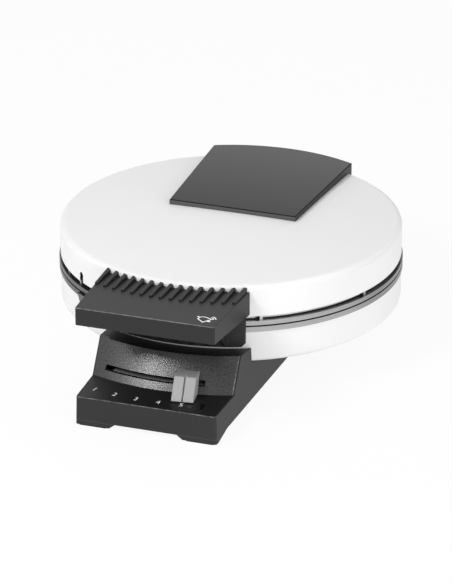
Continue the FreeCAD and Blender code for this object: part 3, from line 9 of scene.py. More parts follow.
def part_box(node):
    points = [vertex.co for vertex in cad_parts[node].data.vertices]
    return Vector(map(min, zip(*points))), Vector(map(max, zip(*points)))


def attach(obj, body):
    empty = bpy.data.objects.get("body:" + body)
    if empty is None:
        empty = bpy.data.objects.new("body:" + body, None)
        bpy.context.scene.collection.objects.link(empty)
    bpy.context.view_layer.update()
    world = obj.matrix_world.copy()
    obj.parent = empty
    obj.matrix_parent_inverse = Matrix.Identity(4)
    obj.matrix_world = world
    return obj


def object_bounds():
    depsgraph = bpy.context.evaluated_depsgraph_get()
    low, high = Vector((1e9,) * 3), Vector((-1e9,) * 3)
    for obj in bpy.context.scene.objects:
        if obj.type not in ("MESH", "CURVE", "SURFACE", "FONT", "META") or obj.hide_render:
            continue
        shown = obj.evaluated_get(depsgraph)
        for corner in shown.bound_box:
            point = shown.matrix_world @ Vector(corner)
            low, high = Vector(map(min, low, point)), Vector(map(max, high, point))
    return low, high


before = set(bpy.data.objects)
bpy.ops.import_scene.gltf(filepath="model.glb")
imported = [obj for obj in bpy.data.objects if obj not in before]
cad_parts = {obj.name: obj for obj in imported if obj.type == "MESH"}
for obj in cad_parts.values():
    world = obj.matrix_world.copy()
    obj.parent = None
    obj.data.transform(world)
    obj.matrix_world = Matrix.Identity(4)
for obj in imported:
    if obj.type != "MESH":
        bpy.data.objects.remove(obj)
CAD_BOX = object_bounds()

bl_info = {
    "name": "Cone Maker Dresser",
    "version": (1, 0, 0),
    "blender": (4, 5, 0),
    "location": "View3D > Sidebar > Cone Maker",
    "description": "Finishes, printed marks and studio stage for the waffle cone maker",
    "category": "Object",
}

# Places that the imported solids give, in metres
DRUM_LOW, DRUM_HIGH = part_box("upper_shell")
DRUM_AXIS_Y = (DRUM_LOW.y + DRUM_HIGH.y) / 2
DRUM_RADIUS = (DRUM_HIGH.y - DRUM_LOW.y) / 2
SHELF_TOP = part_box("indicator_lenses")[1].z
PANEL_LOW, PANEL_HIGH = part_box("control_panel")
LOWER_PLATE_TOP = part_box("lower_bake_plate")[1].z
UPPER_PLATE_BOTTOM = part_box("upper_bake_plate")[0].z
RING_LOW, RING_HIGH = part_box("rim_ring")
RING_RADIUS = (RING_HIGH.y - RING_LOW.y) / 2
HANDLE_FRONT_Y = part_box("handle")[0].y - DRUM_AXIS_Y
BASE_FRONT_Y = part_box("base_housing")[0].y - DRUM_AXIS_Y
MM = 0.001

# The plates and the ring carry a painted reflection, brightest at this angle from the front, towards the
# right, and painted darker away from it
SHEEN_ANGLE = math.radians(35)

# Faces told apart by how far they look up, or along y: 1 is straight that way
HIGHLIGHT_EDGE_UP = (0.15, 0.93)
COVER_EDGE_UP = (0.12, 0.90)
COVER_FRONT_ALONG = -0.97
SHELF_UP = 0.98
SHELL_INSIDE_UP = -0.02

# Where the finishes change on a piece, in metres
SHELL_SKIN = 0.4 * MM
HANDLE_EDGE_DEPTH = 2.0 * MM
BASE_EDGE_DEPTH = 3.0 * MM
SHELF_HEIGHTS = (SHELF_TOP - 0.8 * MM, SHELF_TOP + 0.2 * MM)
SEAM_HEIGHTS = (3.3 * MM, 3.8 * MM)
PANEL_EDGE_WIDTH = 0.6 * MM
COATING_INSET = 11.8 * MM
COATING_DEPTH = 2.2 * MM
RING_NOTCH_DEPTH = 0.5 * MM
RING_TOP_EDGE = 0.5 * MM
RING_FOOT_EDGE = 0.9 * MM

# Printed marks are dropped onto the part from this far above it
DROP_HEIGHT = 10 * MM

# Points this near to the panel's foot or top count as lying on it
PANEL_END_BAND = 1.0 * MM

# Painted highlights, reflections and shade on the plastics, as shares of the plastic's own colour
EDGE_HIGHLIGHT_SHARE = 9.0
SEAM_HIGHLIGHT_SHARE = 2.4
COVER_FRONT_REFLECTION_SHARE = 3.5
COVER_EDGE_SHADE_SHARE = 0.2

# Colours, dark tone first where there are two. Most belong to a substance; the shells' inner near black is
# partly painted shade, the panel's pale edge is a painted highlight and the ring's dark is painted shade
GROUND_COAT_AND_SHADE = (0.012, 0.012, 0.013)
SHELF_DUST = (0.25, 0.25, 0.25)
PANEL_EDGE_HIGHLIGHT = (0.30, 0.30, 0.30)
RING_SHADOW = (0.02, 0.02, 0.02)
HEATER_TONES = (0.24, 0.20, 0.16), (0.30, 0.32, 0.38)
CERAMIC_TONES = (0.62, 0.58, 0.49), (0.74, 0.71, 0.63)
BRONZE_TONES = (0.40, 0.27, 0.12), (0.56, 0.41, 0.22)
RUBBER_TONES = (0.018, 0.018, 0.018), (0.075, 0.072, 0.068)
BOARD_TONES = (0.02, 0.11, 0.045), (0.06, 0.22, 0.09)
LENS_TONES = (0.003, 0.003, 0.003), (0.008, 0.007, 0.007)
LAMP_TONES = (0.30, 0.03, 0.02), (0.55, 0.10, 0.06)

# The bell's outline and strokes, in tenths of its height
BELL_SIDE = ((3.7, -2.9), (3.0, -2.2), (2.7, -0.6), (2.5, 1.0), (1.9, 2.3), (1.0, 3.0))
BELL_TOP = (0.0, 3.2)
BELL_DOTS = ((0.0, -3.9), 1.0), ((0.0, 4.4), 0.6)
BELL_WAVE_CENTRE = (0.0, -0.8)
BELL_WAVE_REACHES = (4.6, 5.8)
BELL_WAVE_ANGLES = (math.radians(-38), math.radians(2))
BELL_WAVE_POINTS = 9
BELL_WAVE_WIDTH_SHARE = 0.85
DOT_SIDES = 20

# Half the floor's width and the camera's near and far limits, in metres
FLOOR_HALF = 4.0
CAMERA_CLIP = (0.01, 100.0)

# How fast the sky that gloss mirrors turns white towards the back
BACKDROP_GAIN = 1.2


def colour_prop(name, description, default):
    return FloatVectorProperty(name=name, description=description, default=default, size=3,
                               min=0.0, max=1.0, subtype="COLOR")


def place_prop(name, description, default):
    return FloatVectorProperty(name=name, description=description, default=default, size=3,
                               subtype="TRANSLATION", unit="LENGTH")


def length_prop(name, description, default):
    return FloatProperty(name=name, description=description, default=default, min=0.0, unit="LENGTH",
                         precision=5)


def angle_prop(name, description, degrees):
    return FloatProperty(name=name, description=description, default=math.radians(degrees), subtype="ANGLE")


class ConeMakerColours(bpy.types.PropertyGroup):
    enamel: colour_prop("Enamel", "White enamel of the two drum shells", (0.88, 0.88, 0.88))
    black_plastic: colour_prop("Black plastic", "Base, handle and rear cover", (0.017, 0.017, 0.017))
    # The shelf's black is darker than the base's as painted shade under the handle; the shelf is the same
    # plastic.
    shelf_shade_black: colour_prop("Shelf", "Dark face that carries the browning numbers", (0.009, 0.009, 0.009))
    panel: colour_prop("Panel", "Flaked grey of the slider's panel", (0.138, 0.138, 0.138))
    knob: colour_prop("Knob", "Grey of the browning slider's knob", (0.36, 0.36, 0.36))
    rail: colour_prop("Rail", "Strip seen inside the slider's slot", (0.12, 0.12, 0.12))
    aluminium: colour_prop("Aluminium", "Edges of the cast baking plates", (0.42, 0.42, 0.42))
    coating: colour_prop("Non-stick coating", "Baking faces", (0.05, 0.047, 0.045))
    ring: colour_prop("Ring", "Rolled ring under the lid's shell", (0.62, 0.62, 0.62))
    zinc: colour_prop("Zinc plate", "Screws, brackets, clips and heat shields", (0.58, 0.58, 0.56))
    print_white: colour_prop("Print", "Numbers and bell mark", (0.92, 0.92, 0.92))


class ConeMakerMarks(bpy.types.PropertyGroup):
    number_radius: length_prop("Number radius", "Distance of the numbers from the drum's axis", 0.1540)
    number_height: length_prop("Number height", "Height of a printed number", 0.0042)
    number_width_share: FloatProperty(name="Number width", default=0.90, min=0.1, max=2.0,
                                      description="Width of a number against its usual width")
    first_number_angle: angle_prop("First number", "Angle of number 1 from the front", -14.1)
    number_step_angle: angle_prop("Number step", "Angle from one number to the next", 5.38)
    number_count: IntProperty(name="Numbers", description="How many numbers the scale has", default=5,
                              min=1, max=9)
    bell_x: length_prop("Bell across", "Bell mark's place across the handle", 0.0343)
    bell_from_front: length_prop("Bell from front", "Bell mark's distance from the handle's front",
                                 0.0104)
    bell_size: length_prop("Bell size", "Height of the bell mark", 0.0116)
    bell_tilt: angle_prop("Bell tilt", "How far the bell leans as it rings", 58.0)
    line_width: length_prop("Line width", "Width of the bell's printed line", 0.0009)
    print_thickness: length_prop("Print thickness", "Thickness of the printed ink", 0.00005)


class ConeMakerStage(bpy.types.PropertyGroup):
    azimuth: angle_prop("Azimuth", "Camera's direction, from the front towards the right", 18.76)
    elevation: angle_prop("Elevation", "Camera's height angle", 23.35)
    distance: length_prop("Distance", "Camera's distance from the drum's axis", 2.0)
    target_height: length_prop("Target height", "Height on the drum's axis that the camera looks at", 0.060)
    lens: FloatProperty(name="Lens", description="Focal length in millimetres", default=190.96, min=1.0)
    shift_x: FloatProperty(name="Shift X", description="Sideways shift of the frame", default=-0.00878)
    shift_y: FloatProperty(name="Shift Y", description="Upward shift of the frame", default=-0.0812)
    sky_front: FloatProperty(name="Sky in front", description="Soft light from the camera's side",
                             default=0.27, min=0.0)
    sky_back: FloatProperty(name="Sky behind", description="Soft light from the backdrop",
                            default=0.78, min=0.0)
    key_power: FloatProperty(name="Key power", description="Soft lamp over the front left", default=12.8,
                             unit="POWER")
    key_place: place_prop("Key place", "Key lamp's place from the camera's target", (-0.575, -1.03, 1.05))
    key_size: length_prop("Key size", "Width of the key lamp", 0.52)
    fill_power: FloatProperty(name="Fill power", description="Low soft lamp at the right", default=17.5,
                              unit="POWER")
    fill_place: place_prop("Fill place", "Fill lamp's place from the camera's target", (1.37, -1.15, 0.19))
    fill_size: length_prop("Fill size", "Width of the fill lamp", 1.4)
    floor: colour_prop("Floor", "Matt white of the floor", (0.97, 0.97, 0.97))
    floor_shadow: FloatProperty(name="Floor shadow", description="How much of the floor's own shading shows",
                                default=0.08, min=0.0, max=1.0)


class Value:
    """A socket that plain arithmetic can be written with: each operator adds a Math node."""

    def __init__(self, nodes, socket):
        self.nodes = nodes
        self.socket = socket

    def math(self, operation, first, second=0.0):
        return self.nodes.add("ShaderNodeMath", {"operation": operation}, {0: first, 1: second})

    def __add__(self, other):
        return self.math("ADD", self, other)

    def __radd__(self, other):
        return self.math("ADD", other, self)

    def __sub__(self, other):
        return self.math("SUBTRACT", self, other)

    def __rsub__(self, other):
        return self.math("SUBTRACT", other, self)

    def __mul__(self, other):
        return self.math("MULTIPLY", self, other)

    def __rmul__(self, other):
        return self.math("MULTIPLY", other, self)

    def __gt__(self, other):
        return self.math("GREATER_THAN", self, other)

    def __lt__(self, other):
        return self.math("LESS_THAN", self, other)

    def between(self, low, high):
        return (self > low) * (self < high)

    def fraction(self):
        return self.math("FRACT", self)


class Nodes:
    """Adds nodes to one node tree."""

    def __init__(self, tree):
        self.tree = tree

    def add(self, kind, settings=None, sockets=None, output=0):
        """Makes a node, sets its settings first and then its sockets, and returns one of its outputs."""
        node = self.tree.nodes.new(kind)
        for name, setting in (settings or {}).items():
            if name == "stops":
                self.set_stops(node.color_ramp, setting)
            else:
                setattr(node, name, setting)
        for name, value in (sockets or {}).items():
            self.feed(node.inputs[name], value)
        return Value(self, node.outputs[output])

    def set_stops(self, ramp, stops):
        while len(ramp.elements) < len(stops):
            ramp.elements.new(1.0)
        for element, (position, grey) in zip(ramp.elements, stops):
            element.position = position
            element.color = (grey, grey, grey, 1.0)

    def feed(self, socket, value):
        if isinstance(value, Value):
            self.tree.links.new(value.socket, socket)
        elif socket.type == "RGBA":
            socket.default_value = (*value[:3], 1.0)
        else:
            socket.default_value = value


class Finish(Nodes):
    """One procedural material on a Principled shader, with patterns measured in the part's own frame."""

    def __init__(self, name, metallic=0.0, specular=0.5, coat=0.0):
        self.material = bpy.data.materials.new(name)
        self.material.use_nodes = True
        super().__init__(self.material.node_tree)
        self.shader = self.tree.nodes["Principled BSDF"]
        self.set("Metallic", metallic)
        self.set("Specular IOR Level", specular)
        self.set("Coat Weight", coat)
        self.place = self.add("ShaderNodeTexCoord", output=3)

    def set(self, socket, value):
        self.feed(self.shader.inputs[socket], value)

    def axes(self):
        """The place's x, y and z, with y counted from the drum's axis."""
        split = self.add("ShaderNodeSeparateXYZ", None, {0: self.place})
        outputs = split.socket.node.outputs
        return Value(self, outputs[0]), Value(self, outputs[1]) - DRUM_AXIS_Y, Value(self, outputs[2])

    def stretched(self, scale):
        return self.add("ShaderNodeVectorMath", {"operation": "MULTIPLY"}, {0: self.place, 1: scale})

    def noise(self, scale, detail=2.0, place=None):
        return self.add("ShaderNodeTexNoise", None,
                        {"Vector": place or self.place, "Scale": scale, "Detail": detail})

    def cells(self, scale, output=0):
        return self.add("ShaderNodeTexVoronoi", None, {"Vector": self.place, "Scale": scale}, output)

    def grains(self, scale):
        """Small grains, each with a grey tone of its own."""
        return self.add("ShaderNodeRGBToBW", None, {0: self.cells(scale, output=1)})

    def ramp(self, value, *stops):
        return self.add("ShaderNodeValToRGB", {"stops": stops}, {0: value})

    def mixed(self, share, first, second):
        return self.add("ShaderNodeMix", {"data_type": "RGBA"}, {0: share, 6: first, 7: second}, 2)

    def bump(self, height, strength, depth):
        self.set("Normal", self.add("ShaderNodeBump", None,
                                    {"Height": height, "Strength": strength, "Distance": depth}))

    def facing(self):
        """The surface's direction along x, y and z, as it is with the lid closed."""
        normal = self.add("ShaderNodeTexCoord", output=1)
        split = self.add("ShaderNodeSeparateXYZ", None, {0: normal})
        return [Value(self, output) for output in split.socket.node.outputs]

    def painted_sheen(self, x, y, *stops):
        """Share of painted reflection round the drum, by how far a place lies from the side where the
        reflection is brightest; the rest is painted shade.
        """
        towards = x * math.sin(SHEEN_ANGLE) - y * math.cos(SHEEN_ANGLE)
        return self.ramp(towards * (0.5 / DRUM_RADIUS) + 0.5, *stops)


def scaled(colour, share):
    return tuple(channel * share for channel in colour)


# Finishes

def make_enamel(name, colour, inner_side):
    """Stoved white enamel with a faint orange-peel skin. Inner faces are painted near black: a ground coat,
    darkened as painted shade for the inside of the drum.
    """
    finish = Finish(name, specular=0.15)
    x, y, _ = finish.axes()
    skin = finish.noise(650.0, detail=3.0)
    cloud = finish.noise(26.0, detail=2.0)
    within = x * x + y * y < (DRUM_RADIUS - SHELL_SKIN) ** 2
    inner = within * (finish.facing()[2] * inner_side > SHELL_INSIDE_UP)
    white = finish.mixed(cloud, scaled(colour, 0.985), scaled(colour, 1.015))
    # Inner faces get the near-black ground coat, partly painted shade that keeps the drum's inside dark
    # where the shell's slot shows it.
    finish.set("Base Color", finish.mixed(inner, white, GROUND_COAT_AND_SHADE))
    finish.set("Roughness", 0.40 + 0.10 * cloud + 0.3 * inner)
    finish.bump(skin, strength=0.05, depth=0.2 * MM)
    return finish.material


def black_grain(finish, colour):
    """Moulded grain that the black parts share: fine pits with a slow change of tone."""
    grain = finish.noise(2600.0, detail=3.0)
    cloud = finish.noise(34.0, detail=3.0)
    tone = finish.mixed(cloud, scaled(colour, 0.86), scaled(colour, 1.14))
    finish.bump(grain, strength=0.16, depth=0.12 * MM)
    return grain, cloud, tone


def make_black_plastic(colour):
    finish = Finish("black_plastic", specular=0.4)
    grain, cloud, tone = black_grain(finish, colour)
    finish.set("Base Color", tone)
    finish.set("Roughness", 0.40 + 0.06 * cloud + 0.08 * grain)
    return finish.material


def make_handle_plastic(colour):
    """The handle's black plastic, with a painted highlight along its front edge, broken up like wear."""
    finish = Finish("handle_plastic", specular=0.34)
    grain, _, tone = black_grain(finish, colour)
    _, y, _ = finish.axes()
    edge = finish.facing()[2].between(*HIGHLIGHT_EDGE_UP) * (y < HANDLE_FRONT_Y + HANDLE_EDGE_DEPTH)
    # Painted highlight along the handle's rounded front edge, broken up with noise like wear.
    edge_highlight = edge * finish.ramp(finish.noise(260.0, detail=3.0), (0.30, 0.2), (0.60, 1.0))
    finish.set("Base Color", finish.mixed(edge_highlight, tone, scaled(colour, EDGE_HIGHLIGHT_SHARE)))
    finish.set("Roughness", 0.48 + 0.08 * grain)
    return finish.material


def make_cover_plastic(colour):
    """The rear cover's black plastic under a clear skin, with a painted reflection making its front paler,
    and its rounded top edge dull and darkened by painted shade.
    """
    finish = Finish("cover_plastic", specular=0.27)
    finish.set("Coat Roughness", 0.36)
    grain, cloud, tone = black_grain(finish, colour)
    _, y, _ = finish.axes()
    _, along, up = finish.facing()
    edge = up.between(*COVER_EDGE_UP)
    front = along < COVER_FRONT_ALONG
    # Painted reflection: the front face is paler; painted shade: the rounded top edge is darker.
    tone_with_reflection = finish.mixed(front, tone, scaled(colour, COVER_FRONT_REFLECTION_SHARE))
    finish.set("Base Color", finish.mixed(edge, tone_with_reflection, scaled(colour, COVER_EDGE_SHADE_SHARE)))
    finish.set("Roughness", 0.40 + 0.06 * cloud + 0.08 * grain + 0.3 * edge)
    finish.set("Coat Weight", (up > COVER_EDGE_UP[1]) * (0.06 + y * (0.45 / DRUM_RADIUS)) + front)
    return finish.material


def make_base_plastic(colour, shelf_shade_colour):
    """The base's black plastic with a painted highlight along its seam, the numbered shelf darkened by
    painted shade and a painted highlight along the shelf's front edge.
    """
    finish = Finish("base_plastic", specular=0.4)
    grain, _, tone = black_grain(finish, colour)
    _, y, z = finish.axes()
    up = finish.facing()[2]
    near_shelf = z.between(*SHELF_HEIGHTS)
    near_front = y < BASE_FRONT_Y + BASE_EDGE_DEPTH
    shelf = (up > SHELF_UP) * near_shelf
    dust = finish.ramp(finish.noise(1500.0, detail=2.0), (0.70, 0.0), (0.80, 1.0))
    # The shelf's darker colour is painted shade under the handle; the fleck of dust on it is real.
    dusty_shaded_shelf = finish.mixed(dust * 0.05, shelf_shade_colour, SHELF_DUST)
    edge = up.between(*HIGHLIGHT_EDGE_UP) * near_shelf * near_front
    # Painted highlight along the shelf's rounded front edge, broken up with noise like wear.
    edge_highlight = edge * finish.ramp(finish.noise(300.0, detail=3.0), (0.35, 0.1), (0.65, 1.0))
    # Painted highlight: a paler line along the seam low on the base's front.
    seam_highlighted = finish.mixed(z.between(*SEAM_HEIGHTS) * near_front, tone, scaled(colour, SEAM_HIGHLIGHT_SHARE))
    plain = finish.mixed(edge_highlight, seam_highlighted, scaled(colour, EDGE_HIGHLIGHT_SHARE))
    finish.set("Base Color", finish.mixed(shelf, plain, dusty_shaded_shelf))
    finish.set("Roughness", 0.52 + 0.08 * grain - 0.10 * shelf)
    return finish.material


def make_panel_paint(colour, edge_x, edge_lean):
    """Dark grey paint with fine metallic flake, and a painted highlight along its right edge, broken up like
    chipping.
    """
    finish = Finish("panel_paint")
    x, _, z = finish.axes()
    flake = finish.grains(1500.0)
    fine = finish.grains(3000.0)
    speckle = finish.ramp(flake * 0.6 + fine * 0.4, (0.25, 0.0), (0.75, 1.0))
    paint = finish.mixed(speckle, scaled(colour, 0.72), scaled(colour, 1.28))
    edge = x > (z - PANEL_LOW.z) * edge_lean + (edge_x - PANEL_EDGE_WIDTH)
    # Painted highlight: a pale strip along the panel's right edge, broken up like chipping, with no metallic
    # flake.
    panel_edge_highlight = edge * finish.ramp(finish.noise(500.0, detail=2.0), (0.35, 0.2), (0.6, 1.0))
    finish.set("Base Color", finish.mixed(panel_edge_highlight, paint, PANEL_EDGE_HIGHLIGHT))
    finish.set("Metallic", (0.88 + 0.08 * speckle) * (1.0 - panel_edge_highlight))
    finish.set("Roughness", 0.29 - 0.04 * speckle)
    finish.bump(fine, strength=0.025, depth=0.08 * MM)
    return finish.material


def make_grey_plastic(name, colour):
    finish = Finish(name)
    grain = finish.noise(2200.0, detail=3.0)
    cloud = finish.noise(120.0, detail=2.0)
    finish.set("Base Color", finish.mixed(cloud, scaled(colour, 0.93), scaled(colour, 1.07)))
    finish.set("Roughness", 0.42 + 0.1 * grain)
    finish.bump(grain, strength=0.10, depth=0.1 * MM)
    return finish.material


def make_cast_plate(colour, coating, face_z):
    """Cast aluminium with a painted reflection, bright at the front right and painted darker round the rest
    of the drum, and a dark non-stick coating over the baking face.
    """
    finish = Finish("cast_plate")
    x, y, z = finish.axes()
    lines = finish.noise(1.0, detail=3.0, place=finish.stretched((60.0, 60.0, 5200.0)))
    cloud = finish.noise(55.0, detail=3.0)
    within = x * x + y * y < (DRUM_RADIUS - COATING_INSET) ** 2
    coated = within * z.between(face_z - COATING_DEPTH, face_z + COATING_DEPTH)
    grain = finish.noise(1800.0, detail=2.0)
    seasoned = finish.mixed(cloud, scaled(coating, 0.7), scaled(coating, 1.4))
    metal = finish.mixed(lines, scaled(colour, 0.72), scaled(colour, 1.25))
    # Painted shade: a darker copy of the aluminium, shown away from the painted reflection at the front
    # right.
    shaded_metal = finish.mixed(lines, scaled(colour, 0.25), scaled(colour, 0.45))
    sheen = finish.painted_sheen(x, y, (0.58, 0.0), (0.75, 0.35), (0.90, 0.55), (0.96, 1.0))
    finish.set("Base Color", finish.mixed(coated, finish.mixed(sheen, shaded_metal, metal), seasoned))
    finish.set("Metallic", 1.0 - coated)
    finish.set("Roughness", 0.30 + 0.16 * lines + 0.12 * coated)
    finish.bump(lines * 0.6 + grain * 0.4, strength=0.12, depth=0.1 * MM)
    return finish.material


def make_zinc(colour):
    """Zinc-plated steel with a spangled tone and light handling marks."""
    finish = Finish("zinc_plate", metallic=1.0)
    spangle = finish.cells(210.0)
    marks = finish.noise(1.0, detail=4.0, place=finish.stretched((2400.0, 240.0, 900.0)))
    finish.set("Base Color", finish.mixed(spangle, scaled(colour, 0.85), scaled(colour, 1.12)))
    finish.set("Roughness", 0.28 + 0.2 * marks)
    finish.bump(marks, strength=0.08, depth=0.08 * MM)
    return finish.material


def make_ring_steel(colour):
    """Rolled steel with uneven streaks, with painted shade along both edges and in the notches, and a
    painted reflection brightest at the front right that turns to painted shade round the rest of the drum.
    """
    finish = Finish("ring_steel")
    x, y, z = finish.axes()
    streaks = finish.noise(1.0, detail=4.0, place=finish.stretched((70.0, 70.0, 1500.0)))
    stains = finish.ramp(finish.noise(60.0, detail=4.0), (0.35, 0.0), (0.65, 1.0))
    silver = finish.mixed(streaks * 0.5 + stains * 0.5, scaled(colour, 0.6), scaled(colour, 1.3))
    # Painted shade near black in the notches and along the top and foot edges; away from the front right the
    # silver is painted darker.
    notch = x * x + y * y < (RING_RADIUS - RING_NOTCH_DEPTH) ** 2
    edges = (z > RING_HIGH.z - RING_TOP_EDGE) + (z < RING_LOW.z + RING_FOOT_EDGE)
    sheen = finish.painted_sheen(x, y, (0.50, 0.15), (0.80, 0.30), (0.92, 1.0))
    silver_with_sheen = finish.mixed(sheen, scaled(colour, 0.12), silver)
    finish.set("Base Color", finish.mixed(notch + edges, silver_with_sheen, RING_SHADOW))
    finish.set("Metallic", 1.0 - notch)
    finish.set("Roughness", 0.30 + 0.25 * streaks)
    finish.bump(streaks, strength=0.15, depth=0.1 * MM)
    return finish.material


def make_heater_steel():
    """Heating tube, straw and blue from its own heat."""
    finish = Finish("heater_steel", metallic=1.0)
    bands = finish.noise(38.0, detail=3.0)
    grain = finish.noise(1800.0, detail=2.0)
    finish.set("Base Color", finish.mixed(bands, *HEATER_TONES))
    finish.set("Roughness", 0.38 + 0.2 * grain)
    finish.bump(grain, strength=0.1, depth=0.1 * MM)
    return finish.material


def make_ceramic():
    finish = Finish("ivory_ceramic")
    grain = finish.noise(900.0, detail=4.0)
    finish.set("Base Color", finish.mixed(grain, *CERAMIC_TONES))
    finish.set("Roughness", 0.5 + 0.2 * grain)
    finish.bump(grain, strength=0.15, depth=0.12 * MM)
    return finish.material


def make_bronze():
    finish = Finish("sintered_bronze", metallic=1.0)
    grain = finish.noise(2400.0, detail=3.0)
    finish.set("Base Color", finish.mixed(grain, *BRONZE_TONES))
    finish.set("Roughness", 0.36 + 0.2 * grain)
    finish.bump(grain, strength=0.15, depth=0.1 * MM)
    return finish.material


def make_rubber():
    finish = Finish("black_rubber", specular=0.3)
    grain = finish.noise(1600.0, detail=4.0)
    dust = finish.ramp(finish.noise(160.0, detail=4.0), (0.45, 0.0), (0.8, 1.0))
    finish.set("Base Color", finish.mixed(dust * 0.35, *RUBBER_TONES))
    finish.set("Roughness", 0.68 + 0.2 * grain)
    finish.bump(grain, strength=0.2, depth=0.1 * MM)
    return finish.material


def make_board():
    """Coated laminate with copper tracks under the green."""
    finish = Finish("signal_board")
    x, _, _ = finish.axes()
    lanes = (x * 260.0 + finish.noise(70.0, detail=1.0)).fraction() > 0.62
    tracks = lanes * (finish.noise(45.0, detail=0.0) > 0.48)
    weave = finish.noise(1500.0, detail=1.0)
    finish.set("Base Color", finish.mixed(tracks, *BOARD_TONES))
    finish.set("Roughness", 0.3 + 0.15 * weave)
    finish.bump(tracks, strength=0.25, depth=0.05 * MM)
    return finish.material


def make_lens(name, dark, light):
    """Tinted lens with fine diffusing flutes on its back."""
    finish = Finish(name, coat=0.1)
    _, y, _ = finish.axes()
    flutes = (y * 1600.0).fraction()
    haze = finish.noise(700.0, detail=2.0)
    finish.set("Base Color", finish.mixed(flutes * 0.5 + haze * 0.5, dark, light))
    finish.set("Roughness", 0.14 + 0.12 * haze)
    finish.bump(flutes, strength=0.1, depth=0.05 * MM)
    return finish.material


def make_print(colour):
    """Pad-printed ink, thin enough in places to let the plastic through."""
    finish = Finish("white_print")
    ink = finish.ramp(finish.noise(1900.0, detail=3.0), (0.25, 0.0), (0.5, 1.0))
    finish.set("Base Color", finish.mixed(ink, scaled(colour, 0.86), colour))
    finish.set("Roughness", 0.5 + 0.1 * ink)
    finish.bump(ink, strength=0.1, depth=0.03 * MM)
    return finish.material


# Helpers for the operators

def dress(material, *names):
    """Gives CAD nodes a finish."""
    for name in names:
        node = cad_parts.get(name)
        if node is None:
            raise RuntimeError("the packed model has no node named " + name)
        node.data.materials.clear()
        node.data.materials.append(material)
        for face in node.data.polygons:
            face.material_index = 0


def new_piece(name, mesh, material, body):
    piece = bpy.data.objects.new(name, mesh)
    bpy.context.scene.collection.objects.link(piece)
    mesh.materials.append(material)
    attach(piece, body)


def height_under(node, x, y):
    """Height of a CAD node's top surface at a place on its plan."""
    start = Vector((x, y, CAD_BOX[1].z + DROP_HEIGHT))
    hit, place, _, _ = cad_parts[node].ray_cast(start, Vector((0, 0, -1)))
    if not hit:
        raise RuntimeError("nothing of " + node + " lies under the mark")
    return place.z


def panel_right_edge():
    """Where the panel's right edge starts at its foot, and how far across it moves for each step up."""
    points = [vertex.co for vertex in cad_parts["control_panel"].data.vertices]
    foot = max(point.x for point in points if point.z < PANEL_LOW.z + PANEL_END_BAND)
    top = max(point.x for point in points if point.z > PANEL_HIGH.z - PANEL_END_BAND)
    return foot, (top - foot) / (PANEL_HIGH.z - PANEL_LOW.z)


def on_drum_plan(radius, angle):
    """A place at a distance from the drum's axis and an angle from the front."""
    return radius * math.sin(angle), DRUM_AXIS_Y - radius * math.cos(angle)


def arc_points(centre, radius, start, end, count):
    angles = [start + (end - start) * i / (count - 1) for i in range(count)]
    return [(centre[0] + radius * math.cos(a), centre[1] + radius * math.sin(a)) for a in angles]


def add_line(mesh, points, width, closed, drop, thickness):
    """A printed line of even width through plan points, laid on the surface that drop finds."""
    count = len(points)
    rows = []
    for i, point in enumerate(points):
        before = points[i - 1] if closed or i > 0 else point
        after = points[(i + 1) % count] if closed or i < count - 1 else point
        along = Vector((after[0] - before[0], after[1] - before[1])).normalized()
        side = Vector((-along.y, along.x)) * (width / 2)
        row = []
        for x, y in ((point[0] + side.x, point[1] + side.y), (point[0] - side.x, point[1] - side.y)):
            surface = drop(x, y)
            row.append(mesh.verts.new((x, y, surface + thickness)))
            row.append(mesh.verts.new((x, y, surface - thickness)))
        rows.append(row)
    ring = (0, 2, 3, 1)
    spans = count if closed else count - 1
    for i in range(spans):
        here, there = rows[i], rows[(i + 1) % count]
        for k in range(4):
            a, b = ring[k], ring[(k + 1) % 4]
            mesh.faces.new((here[a], here[b], there[b], there[a]))
    if not closed:
        mesh.faces.new([rows[0][k] for k in reversed(ring)])
        mesh.faces.new([rows[-1][k] for k in ring])


def add_dot(mesh, centre, radius, drop, thickness):
    """A printed dot, laid on the surface that drop finds."""
    points = arc_points(centre, radius, 0.0, math.tau * (DOT_SIDES - 1) / DOT_SIDES, DOT_SIDES)
    top = [mesh.verts.new((x, y, drop(x, y) + thickness)) for x, y in points]
    under = [mesh.verts.new((x, y, drop(x, y) - thickness)) for x, y in points]
    mesh.faces.new(top)
    mesh.faces.new(list(reversed(under)))
    for i in range(DOT_SIDES):
        j = (i + 1) % DOT_SIDES
        mesh.faces.new((top[j], top[i], under[i], under[j]))


def finished_mesh(name, mesh):
    bmesh.ops.recalc_face_normals(mesh, faces=mesh.faces)
    data = bpy.data.meshes.new(name)
    mesh.to_mesh(data)
    mesh.free()
    return data


# Operators

class FinishDrum(bpy.types.Operator):
    """Finish the enamelled shells, the baking plates and the clipped ring between them"""
    bl_idname = "cone_maker.finish_drum"
    bl_label = "Drum"

    def execute(self, context):
        colours = context.scene.cone_maker_colours
        dress(make_enamel("lid_enamel", colours.enamel, -1.0), "upper_shell")
        dress(make_enamel("base_enamel", colours.enamel, 1.0), "lower_shell")
        dress(make_cast_plate(colours.aluminium, colours.coating, LOWER_PLATE_TOP), "lower_bake_plate")
        dress(make_cast_plate(colours.aluminium, colours.coating, UPPER_PLATE_BOTTOM), "upper_bake_plate")
        dress(make_ring_steel(colours.ring), "rim_ring")
        return {"FINISHED"}


